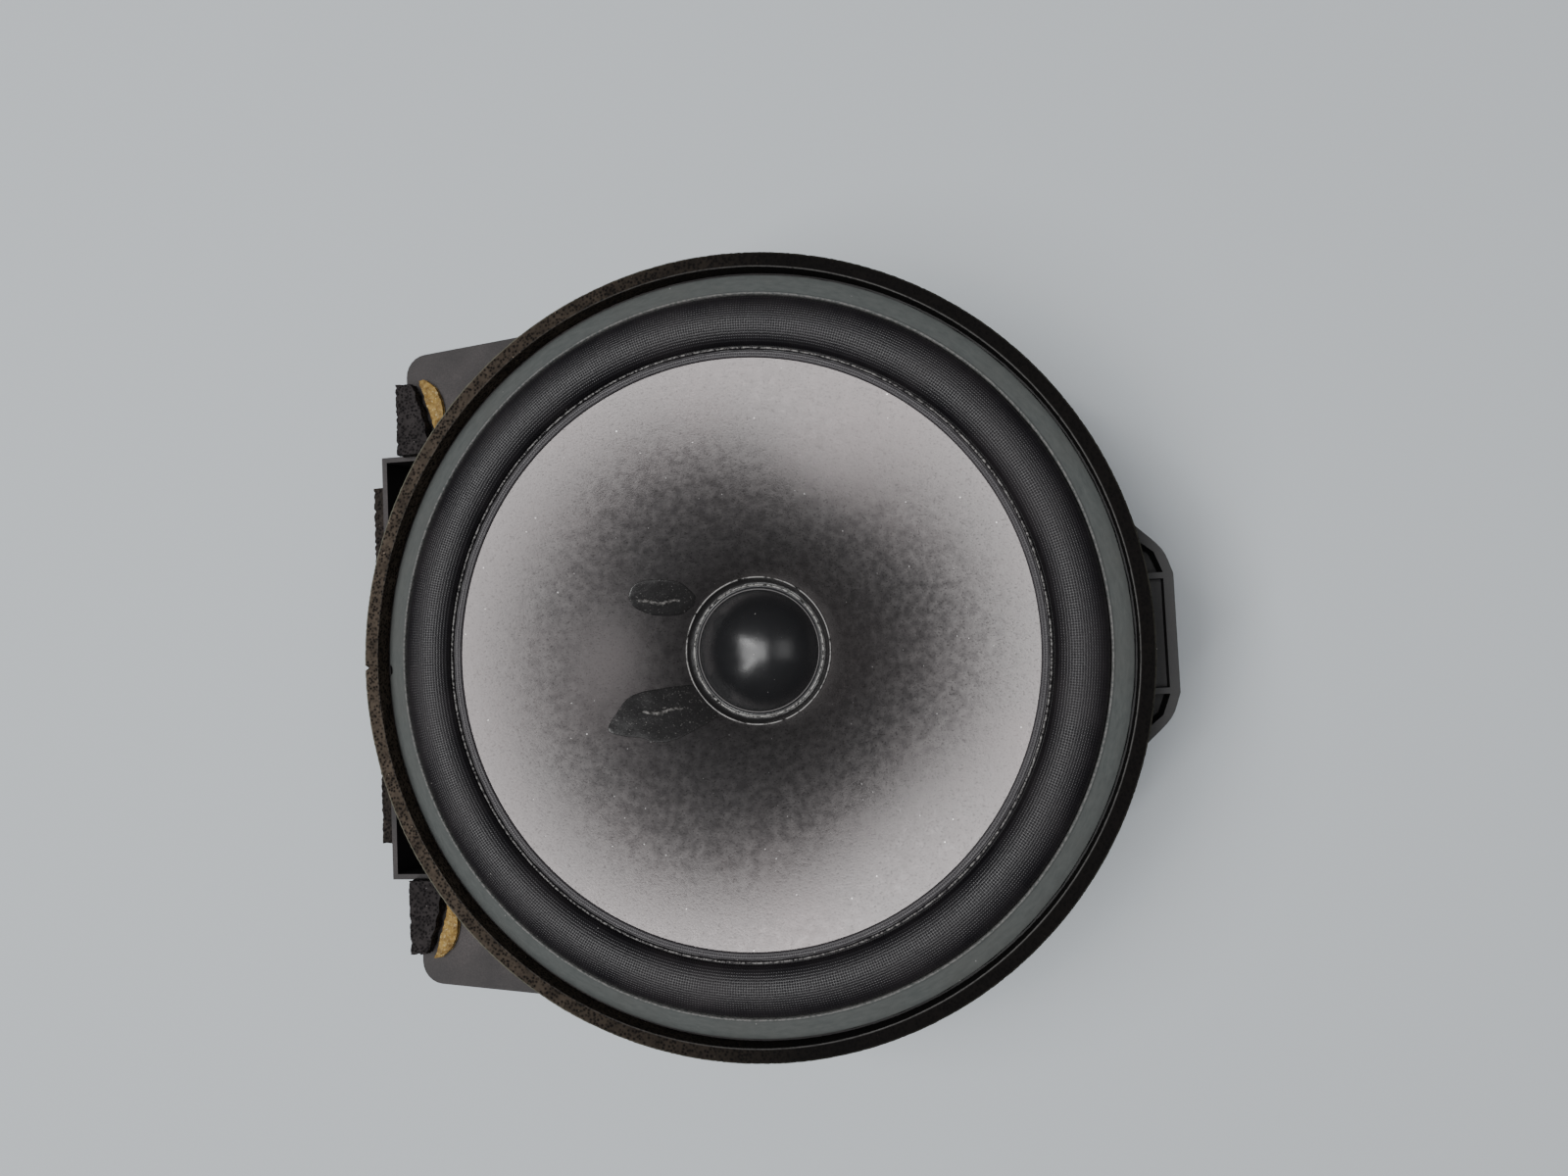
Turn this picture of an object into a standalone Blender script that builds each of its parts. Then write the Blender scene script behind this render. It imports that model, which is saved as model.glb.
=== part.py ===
"""Door loudspeaker of the 165 mm class, face up.

Plastic chassis with side brackets, foam seals, rubber surround, curved cone,
voice coil, centring spider, lead wires, terminals and a ferrite motor.

Metres, +Z towards the listener, the origin in the middle of the motor's rear face.
The bracket with the pocket is on the -X side, the loop with three cells on the +X side.
"""

import math

import bmesh
import bpy
from mathutils import Matrix, Vector

MM = 0.001
GAP = 0.3 * MM               # left between pieces that touch in the real speaker
PASS = 20 * MM               # how far a cutter reaches past what it cuts
ROUND = 48                   # sides of the large round pieces
SMALL_ROUND = 28             # sides of the pieces around the voice coil

# Chassis: flange, tapered wall, spider ledge and motor seat
FLANGE_R = 84.3 * MM
FLANGE_TOP = 57.0 * MM
FLANGE_UNDER = 52.6 * MM
SEAT_R = 80.7 * MM           # inside of the rim that stands round the surround's lip
SEAT_TOP = 56.2 * MM
WALL_R = 74.3 * MM
WALL_T = 2.5 * MM
WALL_FOOT_Z = 50.6 * MM
BOWL_R = 70.6 * MM
BOWL_Z = 42.7 * MM
LEDGE_R = 41.6 * MM
LEDGE_IN_R = 36.8 * MM
LEDGE_TOP = 30.5 * MM
FLOOR_TOP = 26.2 * MM
FLOOR_UNDER = 22.9 * MM
FLOOR_R = 38.0 * MM
FLOOR_BORE_R = 20.0 * MM
WINDOW_ANGLES = (0, 60, 120, 240, 300)
WINDOW_HALF = math.radians(23.5)
WINDOW_R = (46.0 * MM, 68.0 * MM)
RIB_ANGLES = (30, 90, 270, 330)
RIB_T = 2.2 * MM

# Bracket on the -X side: two ears, a pocket between them
EAR_TOP = 53.0 * MM
EAR_T = 2.4 * MM
EAR_X = -77.0 * MM
EAR_Y = 71.4 * MM
EAR_CORNER_R = 5.0 * MM
EAR_RISE = 0.083             # slope of the ear's long edge against X
EAR_END_X = -30.0 * MM
BRACKET_R = 75.6 * MM        # the ears, the pocket and the loop start from the wall here
POCKET_X = -83.8 * MM
POCKET_END_X = -58.5 * MM
POCKET_Y = 48.2 * MM
POCKET_WALL = 1.2 * MM
POCKET_FLOOR = 37.8 * MM

# Loop on the +X side
LOOP_X = 89.2 * MM
LOOP_FLAT_Y = 12.0 * MM
LOOP_SHOULDER = (87.2 * MM, 17.0 * MM)
LOOP_ROOT = (82.4 * MM, 21.9 * MM)
LOOP_WALL = 2.0 * MM
LOOP_RIB_Y = 11.6 * MM
LOOP_RIB_T = 1.3 * MM
LOOP_LOW = 44.0 * MM
LOOP_CELL_X = 78.6 * MM
LOOP_FLOOR = (47.5 * MM, 49.5 * MM)
LOOP_END_FLOOR = (44.0 * MM, 45.5 * MM)

# Front seal and clamp ring
FOAM_R = 84.0 * MM
FOAM_IN_R = 80.9 * MM
FOAM_TOP = 62.0 * MM
CLAMP_R = 80.4 * MM
CLAMP_IN_R = 76.0 * MM
CLAMP_UNDER = 57.4 * MM
CLAMP_TOP = (57.95 * MM, 59.3 * MM)   # at its outer and its inner edge

# Surround
ROLL_MID_R = 70.3 * MM
ROLL_HALF = 4.9 * MM
ROLL_BASE = 57.8 * MM
ROLL_H = 3.85 * MM
RUBBER_T = 0.6 * MM
LIP_Z = 56.8 * MM
INNER_LIP = (62.0 * MM, 57.3 * MM)

# Cone: z rises with the logarithm of the radius
CONE_R = 64.3 * MM
CONE_EDGE_Z = 59.4 * MM
NECK_R = 13.3 * MM
NECK_Z = 35.1 * MM
CONE_T = 0.8 * MM
CONE_RATE = (CONE_EDGE_Z - NECK_Z) / math.log(CONE_R / NECK_R)

# Dust cap and its bead of glue
CAP_R = 13.8 * MM
CAP_FLANGE_R = 15.2 * MM
CAP_Z = 38.3 * MM
CAP_H = 5.7 * MM
CAP_T = 0.6 * MM
CAP_NECK = (0.4 * MM, 0.2 * MM)   # the groove between the dome and its flange: width, depth
BEAD_R = 17.2 * MM
BEAD_H = 1.5 * MM

# Voice coil and spider
FORMER_R = (12.7 * MM, 12.95 * MM)
FORMER_Z = (11.5 * MM, 36.2 * MM)
WINDING_R = (13.25 * MM, 13.75 * MM)
WINDING_Z = (14.6 * MM, 25.6 * MM)
COLLAR_R = 14.6 * MM
COLLAR_Z = (32.2 * MM, 33.5 * MM)
SPIDER_Z = 31.1 * MM
SPIDER_R = 40.6 * MM
SPIDER_T = 0.6 * MM
SPIDER_WAVES = 4
SPIDER_WAVE_R = (16.5 * MM, 36.0 * MM)
SPIDER_WAVE_H = 1.05 * MM

# Motor
YOKE_R = 34.5 * MM
YOKE_T = 5.0 * MM
POLE_R = 11.6 * MM
POLE_TOP = 22.0 * MM
COPPER_TOP = 22.9 * MM
COPPER_R = 12.3 * MM
COPPER_LOW = 14.6 * MM
MAGNET_R = 36.0 * MM
MAGNET_BORE_R = 16.5 * MM
MAGNET_Z = (5.3 * MM, 17.3 * MM)
TOP_PLATE_R = 35.0 * MM
TOP_PLATE_BORE_R = 14.2 * MM
TOP_PLATE_Z = (17.6 * MM, 22.6 * MM)
RIVET_CIRCLE_R = 30.6 * MM
RIVET_R = 1.6 * MM
RIVET_HEAD_R = 2.9 * MM
RIVET_HEAD_H = 1.5 * MM
RIVET_LOW = 18.0 * MM
RIVET_ANGLES = (45, 135, 225, 315)

# Terminals on the -X side
BOSS_X = (-70.0 * MM, -46.0 * MM)
BOSS_Y = 16.0 * MM
BOSS_Z = (31.0 * MM, 36.0 * MM)
BLOCK_X = (-74.0 * MM, -52.0 * MM)
BLOCK_Y = 13.0 * MM
BLOCK_Z = (19.7 * MM, 30.7 * MM)
SOCKET_X = -60.0 * MM
SOCKET_Y = 11.2 * MM
SOCKET_Z = (20.9 * MM, 29.5 * MM)
BLADE_X = (-72.0 * MM, -49.6 * MM)
BLADE_Y = 5.5 * MM
BLADE_W = 6.3 * MM
BLADE_T = 0.8 * MM
BLADE_Z = 26.0 * MM
BLADE_TOP = 38.4 * MM

# Lead wires and the glue that holds them to the cone
LEAD_R = 0.6 * MM
LEAD_HOLE = (-25.3 * MM, 12.5 * MM)
LEAD_ROUTE = ((-44.2, 6.7, 36.0), (-40.0, 9.6, 34.8), (-34.0, 11.4, 35.0), (-28.6, 12.3, 38.6))   # millimetres
LEAD_END_GAP = 2.1 * MM      # from the cone's front face down to the end of the wire
GLUE_T = 0.7 * MM
GLUE_SIZE = {"upper": (7.6 * MM, 4.1 * MM), "lower": (9.6 * MM, 5.6 * MM)}
GLUE_AT = {"upper": (-20.9 * MM, 12.9 * MM), "lower": (-21.6 * MM, -13.0 * MM)}

# Foam pads, aged adhesive and foam strip on the -X bracket
PAD_OUTLINE = (              # millimetres, as is the next
    (-78.2, 47.8), (-78.3, 64.5), (-73.8, 64.3), (-73.0, 61.5),
    (-71.9, 58.2), (-70.9, 54.5), (-70.5, 51.5), (-70.6, 47.8),
)
PAD_TOP = 56.3 * MM
ADHESIVE_OUTLINE = (
    (-73.3, 64.5), (-72.4, 65.5), (-69.6, 65.6), (-68.4, 64.0), (-67.8, 61.0),
    (-67.9, 58.0), (-68.8, 54.6), (-69.8, 52.3), (-70.3, 54.6), (-71.3, 58.3), (-72.5, 61.7),
)
ADHESIVE_TOP = 54.9 * MM
STRIP_X = (-86.6 * MM, -84.1 * MM)
STRIP_Y = (-40.3 * MM, 41.5 * MM)
STRIP_Z = (41.0 * MM, 52.2 * MM)


def clear_scene():
    for obj in list(bpy.data.objects):
        bpy.data.objects.remove(obj, do_unlink=True)


def collection(name):
    made = bpy.data.collections.new(name)
    bpy.context.scene.collection.children.link(made)
    return made


def material(name, colour, roughness, metallic=0.0):
    made = bpy.data.materials.new(name)
    made.use_nodes = True
    shader = made.node_tree.nodes["Principled BSDF"]
    shader.inputs["Base Color"].default_value = (*colour, 1.0)
    shader.inputs["Roughness"].default_value = roughness
    shader.inputs["Metallic"].default_value = metallic
    made.diffuse_color = (*colour, 1.0)
    return made


def mesh_object(name, vertices, edges=(), faces=(), group=None):
    mesh = bpy.data.meshes.new(name)
    mesh.from_pydata(vertices, edges, faces)
    obj = bpy.data.objects.new(name, mesh)
    group.objects.link(obj)
    return obj


def turned(name, profile, group, steps=ROUND, closed=True):
    """A profile of (radius, z) that runs down its outer side, turned about Z."""
    count = len(profile)
    points = [(r, 0.0, z) for r, z in profile]
    edges = [(i, i + 1) for i in range(count - 1)]
    if closed:
        edges.append((count - 1, 0))
    obj = mesh_object(name, points, edges, group=group)
    screw = obj.modifiers.new("turn", "SCREW")
    screw.axis = "Z"
    screw.angle = math.tau
    screw.steps = steps
    screw.render_steps = steps
    screw.use_merge_vertices = True
    screw.merge_threshold = 0.00001
    screw.use_smooth_shade = False
    return obj


def shell(points, thickness):
    """A closed profile: a line from inside to outside, and the same line moved below it."""
    below = []
    for i, (r, z) in enumerate(points):
        r0, z0 = points[max(i - 1, 0)]
        r1, z1 = points[min(i + 1, len(points) - 1)]
        along = Vector((r1 - r0, z1 - z0)).normalized()
        below.append((r + along.y * thickness, z - along.x * thickness))
    return points + below[::-1]


def box(name, low, high, group):
    size = [high[i] - low[i] for i in range(3)]
    middle = [(high[i] + low[i]) / 2 for i in range(3)]
    bpy.ops.mesh.primitive_cube_add(size=1.0, location=middle)
    obj = bpy.context.object
    obj.name = name
    obj.scale = size
    move_to(obj, group)
    return obj


def cylinder(name, radius, low, high, at, group, sides=20):
    middle = (at[0], at[1], (low + high) / 2)
    bpy.ops.mesh.primitive_cylinder_add(vertices=sides, radius=radius, depth=high - low, location=middle)
    obj = bpy.context.object
    obj.name = name
    move_to(obj, group)
    return obj


def move_to(obj, group):
    for old in list(obj.users_collection):
        old.objects.unlink(obj)
    group.objects.link(obj)


def curve_to_mesh(obj, group):
    """The curve as a welded mesh object of the same name and place."""
    name = obj.name
    obj.name = name + "_curve"
    bpy.context.view_layer.update()
    depsgraph = bpy.context.evaluated_depsgraph_get()
    mesh = bpy.data.meshes.new_from_object(obj.evaluated_get(depsgraph))
    work = bmesh_from(mesh)
    bmesh.ops.remove_doubles(work, verts=work.verts, dist=0.000001)
    work.to_mesh(mesh)
    work.free()
    made = bpy.data.objects.new(name, mesh)
    made.matrix_world = obj.matrix_world.copy()
    bpy.data.objects.remove(obj, do_unlink=True)
    group.objects.link(made)
    return made


def bmesh_from(mesh):
    work = bmesh.new()
    work.from_mesh(mesh)
    return work


def plate(name, outlines, low, high, group):
    """Flat outlines, any later one a hole in the first, made as thick as low to high."""
    curve = bpy.data.curves.new(name, "CURVE")
    curve.dimensions = "2D"
    curve.fill_mode = "BOTH"
    curve.extrude = (high - low) / 2
    for outline in outlines:
        spline = curve.splines.new("POLY")
        spline.points.add(len(outline) - 1)
        for point, (x, y) in zip(spline.points, outline):
            point.co = (x, y, 0.0, 1.0)
        spline.use_cyclic_u = True
    obj = bpy.data.objects.new(name, curve)
    obj.location.z = (low + high) / 2
    group.objects.link(obj)
    return curve_to_mesh(obj, group)


def arc(middle, radius, start, end, steps):
    """Points on an arc, its angles in degrees."""
    found = []
    for i in range(steps + 1):
        angle = math.radians(start + (end - start) * i / steps)
        found.append((middle[0] + radius * math.cos(angle), middle[1] + radius * math.sin(angle)))
    return found


def boolean(obj, other, operation):
    change = obj.modifiers.new(operation.lower() + "_" + other.name, "BOOLEAN")
    change.operation = operation
    change.solver = "EXACT"
    change.object = other
    other.hide_render = True
    other.display_type = "WIRE"


def paint(obj, finish):
    obj.data.materials.clear()
    obj.data.materials.append(finish)


def cone_front(radius):
    """Height of the cone's front face at a radius."""
    return NECK_Z + CONE_RATE * math.log(radius / NECK_R)


def wall_under(radius):
    """Height of the tapered wall's outer face at a radius."""
    rise = (BOWL_Z - LEDGE_TOP) / (BOWL_R - LEDGE_R)
    return LEDGE_TOP - WALL_T * math.hypot(1.0, rise) + (radius - LEDGE_R) * rise


# Chassis

def make_chassis(parts, cutters, finish):
    under = wall_under(BOWL_R + 2 * MM)
    profile = [
        (SEAT_R, SEAT_TOP),
        (SEAT_R, FLANGE_TOP),
        (FLANGE_R, FLANGE_TOP),
        (FLANGE_R, FLANGE_UNDER),
        (WALL_R + WALL_T, FLANGE_UNDER),
        (WALL_R + WALL_T, WALL_FOOT_Z - 0.5 * MM),
        (BOWL_R + 2 * MM, under),
        (FLOOR_R + 4 * MM, wall_under(FLOOR_R + 4 * MM)),
        (FLOOR_R, LEDGE_TOP - WALL_T),
        (FLOOR_R, FLOOR_UNDER),
        (FLOOR_BORE_R, FLOOR_UNDER),
        (FLOOR_BORE_R, FLOOR_TOP),
        (FLOOR_R - WALL_T, FLOOR_TOP),
        (LEDGE_IN_R, LEDGE_TOP),
        (LEDGE_R, LEDGE_TOP),
        (BOWL_R, BOWL_Z),
        (WALL_R, WALL_FOOT_Z),
        (WALL_R, SEAT_TOP),
    ]
    chassis = turned("chassis", profile, parts)
    for angle in WINDOW_ANGLES:
        boolean(chassis, window_cutter(angle, cutters), "DIFFERENCE")
    for angle in RIB_ANGLES:
        boolean(chassis, rib(angle, cutters), "UNION")
    for side in (1, -1):
        boolean(chassis, ear(side, cutters), "UNION")
    boolean(chassis, pocket(cutters), "UNION")
    boolean(chassis, loop(cutters), "UNION")
    boolean(chassis, loop_floor(cutters), "UNION")
    for side in (1, -1):
        boolean(chassis, loop_end_floor(side, cutters), "UNION")
    boolean(chassis, terminal_boss(cutters), "UNION")
    for side in (1, -1):
        slot_low = (BLADE_X[1] - BLADE_T - GAP, side * BLADE_Y - BLADE_W / 2 - GAP, BOSS_Z[0] - MM)
        slot_high = (BLADE_X[1] + GAP, side * BLADE_Y + BLADE_W / 2 + GAP, BLADE_TOP + 3 * MM)
        boolean(chassis, box("slot_cutter", slot_low, slot_high, cutters), "DIFFERENCE")
    for at in rivet_places():
        hole = cylinder("rivet_hole", RIVET_R + GAP, FLOOR_UNDER - MM, FLOOR_TOP + MM, at, cutters)
        boolean(chassis, hole, "DIFFERENCE")
    paint(chassis, finish)
    return chassis


def window_cutter(angle, cutters):
    half = math.degrees(WINDOW_HALF)
    inner = arc((0, 0), WINDOW_R[0], angle + half - 1, angle - half + 1, 8)
    outer = arc((0, 0), WINDOW_R[1], angle - half, angle + half, 10)
    return plate("window", [inner + outer], FLOOR_TOP, BOWL_Z + 4 * MM, cutters)


def rib(angle, cutters):
    """A web under one spoke, from the motor seat to the flange."""
    outline = [
        (FLOOR_R - MM, FLOOR_UNDER + MM),
        (FLOOR_R + 8 * MM, FLOOR_UNDER + 1.5 * MM),
        (BOWL_R + 3 * MM, BOWL_Z - 7 * MM),
        (FLANGE_R - 4 * MM, FLANGE_UNDER + 0.3 * MM),
        (WALL_R + MM, FLANGE_UNDER + 0.3 * MM),
        (WALL_R + MM, WALL_FOOT_Z),
        (BOWL_R, wall_under(BOWL_R) + MM),
        (FLOOR_R + 4 * MM, wall_under(FLOOR_R + 4 * MM) + MM),
        (FLOOR_R - MM, LEDGE_TOP - MM),
    ]
    web = plate("rib", [outline], -RIB_T / 2, RIB_T / 2, cutters)
    web.matrix_world = rotation_z(angle) @ upright() @ web.matrix_world
    return web


def rotation_z(degrees):
    return Matrix.Rotation(math.radians(degrees), 4, "Z")


def upright():
    """Turns a flat outline of (x, y) into (x, z)."""
    return Matrix.Rotation(math.radians(90), 4, "X")


def ear(side, cutters):
    """The ear above (side 1) or below (side -1) the pocket."""
    start_z = EAR_TOP - EAR_T
    corner = (EAR_X + EAR_CORNER_R, EAR_Y - EAR_CORNER_R)
    end = (EAR_END_X, EAR_Y + EAR_RISE * (EAR_END_X - corner[0]))
    first = math.degrees(math.atan2(end[1], end[0]))
    inner_y = POCKET_Y - POCKET_WALL / 2
    last = math.degrees(math.atan2(inner_y, -math.sqrt(BRACKET_R**2 - POCKET_Y**2)))
    outline = [end]
    outline += arc((0, 0), BRACKET_R, first, last, 8)
    outline += [(EAR_X, inner_y)]
    square_to_edge = 90 + math.degrees(math.atan(EAR_RISE))
    outline += arc(corner, EAR_CORNER_R, 180, square_to_edge, 6)
    outline = [(x, side * y) for x, y in outline]
    return plate("ear", [outline], start_z, EAR_TOP, cutters)


def pocket(cutters):
    """An open-topped pocket of thin walls that runs in under the flange."""
    low = (POCKET_X, -POCKET_Y, POCKET_FLOOR)
    shell_box = box("pocket", low, (POCKET_END_X, POCKET_Y, EAR_TOP), cutters)
    low = (POCKET_X + POCKET_WALL, -POCKET_Y + POCKET_WALL, POCKET_FLOOR + POCKET_WALL)
    high = (POCKET_END_X + PASS, POCKET_Y - POCKET_WALL, EAR_TOP + PASS)
    boolean(shell_box, box("pocket_inside", low, high, cutters), "DIFFERENCE")
    bore = cylinder("pocket_bore", BRACKET_R + 0.1 * MM, POCKET_FLOOR - PASS, EAR_TOP + PASS, (0, 0), cutters, sides=ROUND)
    boolean(shell_box, bore, "DIFFERENCE")
    return shell_box


def loop(cutters):
    """Three cells under the flange, behind a rounded outer wall."""
    quarter = smooth([Vector(LOOP_ROOT), Vector(LOOP_SHOULDER), Vector((LOOP_X, LOOP_FLAT_Y))], 4)
    root_y = LOOP_ROOT[1]
    reach = math.degrees(math.asin(root_y / BRACKET_R))
    outer = [(x, -y) for x, y in quarter]
    outer += [(x, y) for x, y in quarter[::-1]]
    outer += arc((0, 0), BRACKET_R, reach, -reach, 8)
    outlines = [outer]
    rib_low = LOOP_RIB_Y - LOOP_RIB_T / 2
    rib_high = LOOP_RIB_Y + LOOP_RIB_T / 2
    inner_x = LOOP_X - LOOP_WALL
    outlines.append([(LOOP_CELL_X, -rib_low), (inner_x, -rib_low), (inner_x, rib_low), (LOOP_CELL_X, rib_low)])
    for side in (1, -1):
        cell = [(LOOP_CELL_X, side * rib_high), (inner_x, side * rib_high)]
        cell.append((LOOP_SHOULDER[0] - LOOP_WALL + 0.4 * MM, side * (LOOP_SHOULDER[1] - 0.6 * MM)))
        cell.append((LOOP_ROOT[0] - MM, side * (LOOP_ROOT[1] - LOOP_WALL)))
        cell.append((LOOP_CELL_X, side * (LOOP_ROOT[1] - LOOP_WALL)))
        outlines.append(cell)
    return plate("loop", outlines, LOOP_LOW, EAR_TOP, cutters)


def loop_floor(cutters):
    low = (LOOP_CELL_X - MM, -LOOP_RIB_Y, LOOP_FLOOR[0])
    high = (LOOP_X - MM, LOOP_RIB_Y, LOOP_FLOOR[1])
    return box("loop_floor", low, high, cutters)


def loop_end_floor(side, cutters):
    """The lower floor of the cell at one end of the loop."""
    near_y = side * (LOOP_RIB_Y - LOOP_RIB_T / 4)
    far_y = side * (LOOP_ROOT[1] - MM)
    outline = [
        (LOOP_CELL_X - MM, near_y), (LOOP_X - MM, near_y), (LOOP_SHOULDER[0] - MM, side * (LOOP_SHOULDER[1] - MM)),
        (LOOP_ROOT[0] - MM, far_y), (LOOP_CELL_X - MM, far_y),
    ]
    return plate("loop_end_floor", [outline], LOOP_END_FLOOR[0] + GAP, LOOP_END_FLOOR[1], cutters)


def terminal_boss(cutters):
    low = (BOSS_X[0], -BOSS_Y, BOSS_Z[0])
    return box("terminal_boss", low, (BOSS_X[1], BOSS_Y, BOSS_Z[1]), cutters)


# Front seal, clamp ring and surround

def make_front(parts, foam, plastic, rubber):
    seal = [(FOAM_IN_R, FOAM_TOP), (FOAM_R, FOAM_TOP), (FOAM_R, FLANGE_TOP + GAP), (FOAM_IN_R, FLANGE_TOP + GAP)]
    paint(turned("front_seal", seal, parts), foam)
    clamp = [(CLAMP_IN_R, CLAMP_TOP[1]), (CLAMP_R, CLAMP_TOP[0]), (CLAMP_R, CLAMP_UNDER), (CLAMP_IN_R, CLAMP_UNDER)]
    paint(turned("clamp_ring", clamp, parts), plastic)
    line = [INNER_LIP, (ROLL_MID_R - ROLL_HALF - 0.6 * MM, INNER_LIP[1] + 0.3 * MM)]
    for i in range(9):
        angle = math.pi - math.pi * i / 8
        line.append((ROLL_MID_R + ROLL_HALF * math.cos(angle), ROLL_BASE + ROLL_H * math.sin(angle)))
    line += [(ROLL_MID_R + ROLL_HALF + 0.5 * MM, LIP_Z + 0.3 * MM), (CLAMP_R - 0.1 * MM, LIP_Z + 0.3 * MM)]
    paint(turned("surround", shell(line, RUBBER_T), parts), rubber)


# Cone and what rides on it

def make_cone(parts, axis, looks):
    steps = 8
    radii = [NECK_R * (CONE_R / NECK_R) ** (i / steps) for i in range(steps + 1)]
    cone = turned("cone", shell([(r, cone_front(r)) for r in radii], CONE_T), parts)
    paint(cone, looks["cone"])
    sphere_r = (CAP_R**2 + CAP_H**2) / (2 * CAP_H)
    top = [(0.0, CAP_Z + CAP_H)]
    for i in range(1, 7):
        r = CAP_R * i / 6
        top.append((r, CAP_Z + CAP_H - sphere_r + math.sqrt(sphere_r**2 - r**2)))
    top += [(CAP_R + CAP_NECK[0], CAP_Z - CAP_NECK[1]), (CAP_FLANGE_R, CAP_Z)]
    under = [(max(r - CAP_T * r / sphere_r, 0.0), z - CAP_T) for r, z in top[:-1]]
    cap = turned("dust_cap", top + [(CAP_FLANGE_R, CAP_Z - CAP_T)] + under[::-1], parts, SMALL_ROUND, closed=False)
    paint(cap, looks["cap"])
    low_r = CAP_FLANGE_R + GAP
    mid_r = (low_r + BEAD_R) / 2
    bead = [
        (low_r, cone_front(low_r) + BEAD_H),
        (mid_r, cone_front(mid_r) + BEAD_H),
        (BEAD_R, cone_front(BEAD_R) + GAP),
        (low_r, cone_front(low_r) + GAP),
    ]
    paint(turned("cap_glue", bead, parts, SMALL_ROUND), looks["glue"])
    paint(turned("coil_former", ring(FORMER_R, FORMER_Z), parts, SMALL_ROUND), looks["former"])
    paint(turned("coil_winding", ring(WINDING_R, WINDING_Z), parts, SMALL_ROUND), looks["copper"])
    paint(turned("neck_glue", ring((NECK_R, COLLAR_R), COLLAR_Z), parts, SMALL_ROUND), looks["glue"])
    for side in ("upper", "lower"):
        glue_patch(side, parts, looks["glue"])
    riding = ["cone", "dust_cap", "cap_glue", "coil_former", "coil_winding", "neck_glue"]
    for name in riding + ["lead_glue_upper", "lead_glue_lower"]:
        bpy.data.objects[name].parent = axis


def ring(radii, heights):
    return [(radii[0], heights[1]), (radii[1], heights[1]), (radii[1], heights[0]), (radii[0], heights[0])]


def glue_patch(side, parts, finish):
    """A dab of glue that follows the cone's face: an ellipse laid on it, then thickened."""
    half_x, half_y = GLUE_SIZE[side]
    at = GLUE_AT[side]
    work = bmesh.new()
    bmesh.ops.create_circle(work, cap_ends=True, cap_tris=True, segments=20, radius=1.0)
    bmesh.ops.subdivide_edges(work, edges=work.edges, cuts=1, use_grid_fill=True)
    for vert in work.verts:
        spot = Vector((at[0] + vert.co.x * half_x, at[1] + vert.co.y * half_y))
        if spot.length < BEAD_R + 2 * GAP:
            spot.length = BEAD_R + 2 * GAP
        vert.co = (spot.x, spot.y, cone_front(spot.length) + 1.4 * GAP)
    mesh = bpy.data.meshes.new("lead_glue_" + side)
    work.to_mesh(mesh)
    work.free()
    patch = bpy.data.objects.new("lead_glue_" + side, mesh)
    parts.objects.link(patch)
    thick = patch.modifiers.new("thickness", "SOLIDIFY")
    thick.thickness = GLUE_T
    thick.offset = 1.0
    paint(patch, finish)


def make_spider(parts, finish):
    steps = SPIDER_WAVES * 4
    line = [(NECK_R, SPIDER_Z)]
    for i in range(steps + 1):
        r = SPIDER_WAVE_R[0] + (SPIDER_WAVE_R[1] - SPIDER_WAVE_R[0]) * i / steps
        line.append((r, SPIDER_Z + SPIDER_WAVE_H * math.sin(math.tau * SPIDER_WAVES * i / steps)))
    line += [(LEDGE_IN_R + GAP, LEDGE_TOP + SPIDER_T + GAP), (SPIDER_R, LEDGE_TOP + SPIDER_T + GAP)]
    paint(turned("spider", shell(line, SPIDER_T), parts, SMALL_ROUND), finish)


# Motor

def make_motor(parts, cutters, looks):
    yoke = [
        (0.0, POLE_TOP),
        (POLE_R, POLE_TOP),
        (POLE_R, YOKE_T + MM),
        (POLE_R + 0.5 * MM, YOKE_T),
        (YOKE_R - 0.8 * MM, YOKE_T),
        (YOKE_R, YOKE_T - 0.8 * MM),
        (YOKE_R, MM),
        (YOKE_R - MM, 0.0),
        (0.0, 0.0),
    ]
    paint(turned("yoke", yoke, parts, closed=False), looks["steel"])
    inside_r = POLE_R + GAP
    cap = [
        (0.0, COPPER_TOP),
        (COPPER_R, COPPER_TOP),
        (COPPER_R, COPPER_LOW),
        (inside_r, COPPER_LOW),
        (inside_r, POLE_TOP + GAP),
        (0.0, POLE_TOP + GAP),
    ]
    paint(turned("pole_cap", cap, parts, SMALL_ROUND, closed=False), looks["copper"])
    paint(turned("magnet", softened(ring((MAGNET_BORE_R, MAGNET_R), MAGNET_Z), MM), parts), looks["ferrite"])
    plate_profile = softened(ring((TOP_PLATE_BORE_R, TOP_PLATE_R), TOP_PLATE_Z), 0.5 * MM)
    top_plate = turned("top_plate", plate_profile, parts)
    for at in rivet_places():
        hole = cylinder("rivet_hole", RIVET_R + GAP, TOP_PLATE_Z[0] - MM, TOP_PLATE_Z[1] + MM, at, cutters)
        boolean(top_plate, hole, "DIFFERENCE")
    paint(top_plate, looks["steel"])
    head = FLOOR_TOP + GAP
    rivet = [
        (0.0, head + RIVET_HEAD_H),
        (RIVET_HEAD_R * 0.6, head + RIVET_HEAD_H * 0.85),
        (RIVET_HEAD_R, head + RIVET_HEAD_H * 0.3),
        (RIVET_HEAD_R, head),
        (RIVET_R, head),
        (RIVET_R, RIVET_LOW),
        (0.0, RIVET_LOW),
    ]
    for number, at in enumerate(rivet_places(), start=1):
        made = turned("rivet_" + str(number), rivet, parts, 20, closed=False)
        made.location = (at[0], at[1], 0.0)
        paint(made, looks["zinc"])


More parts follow.
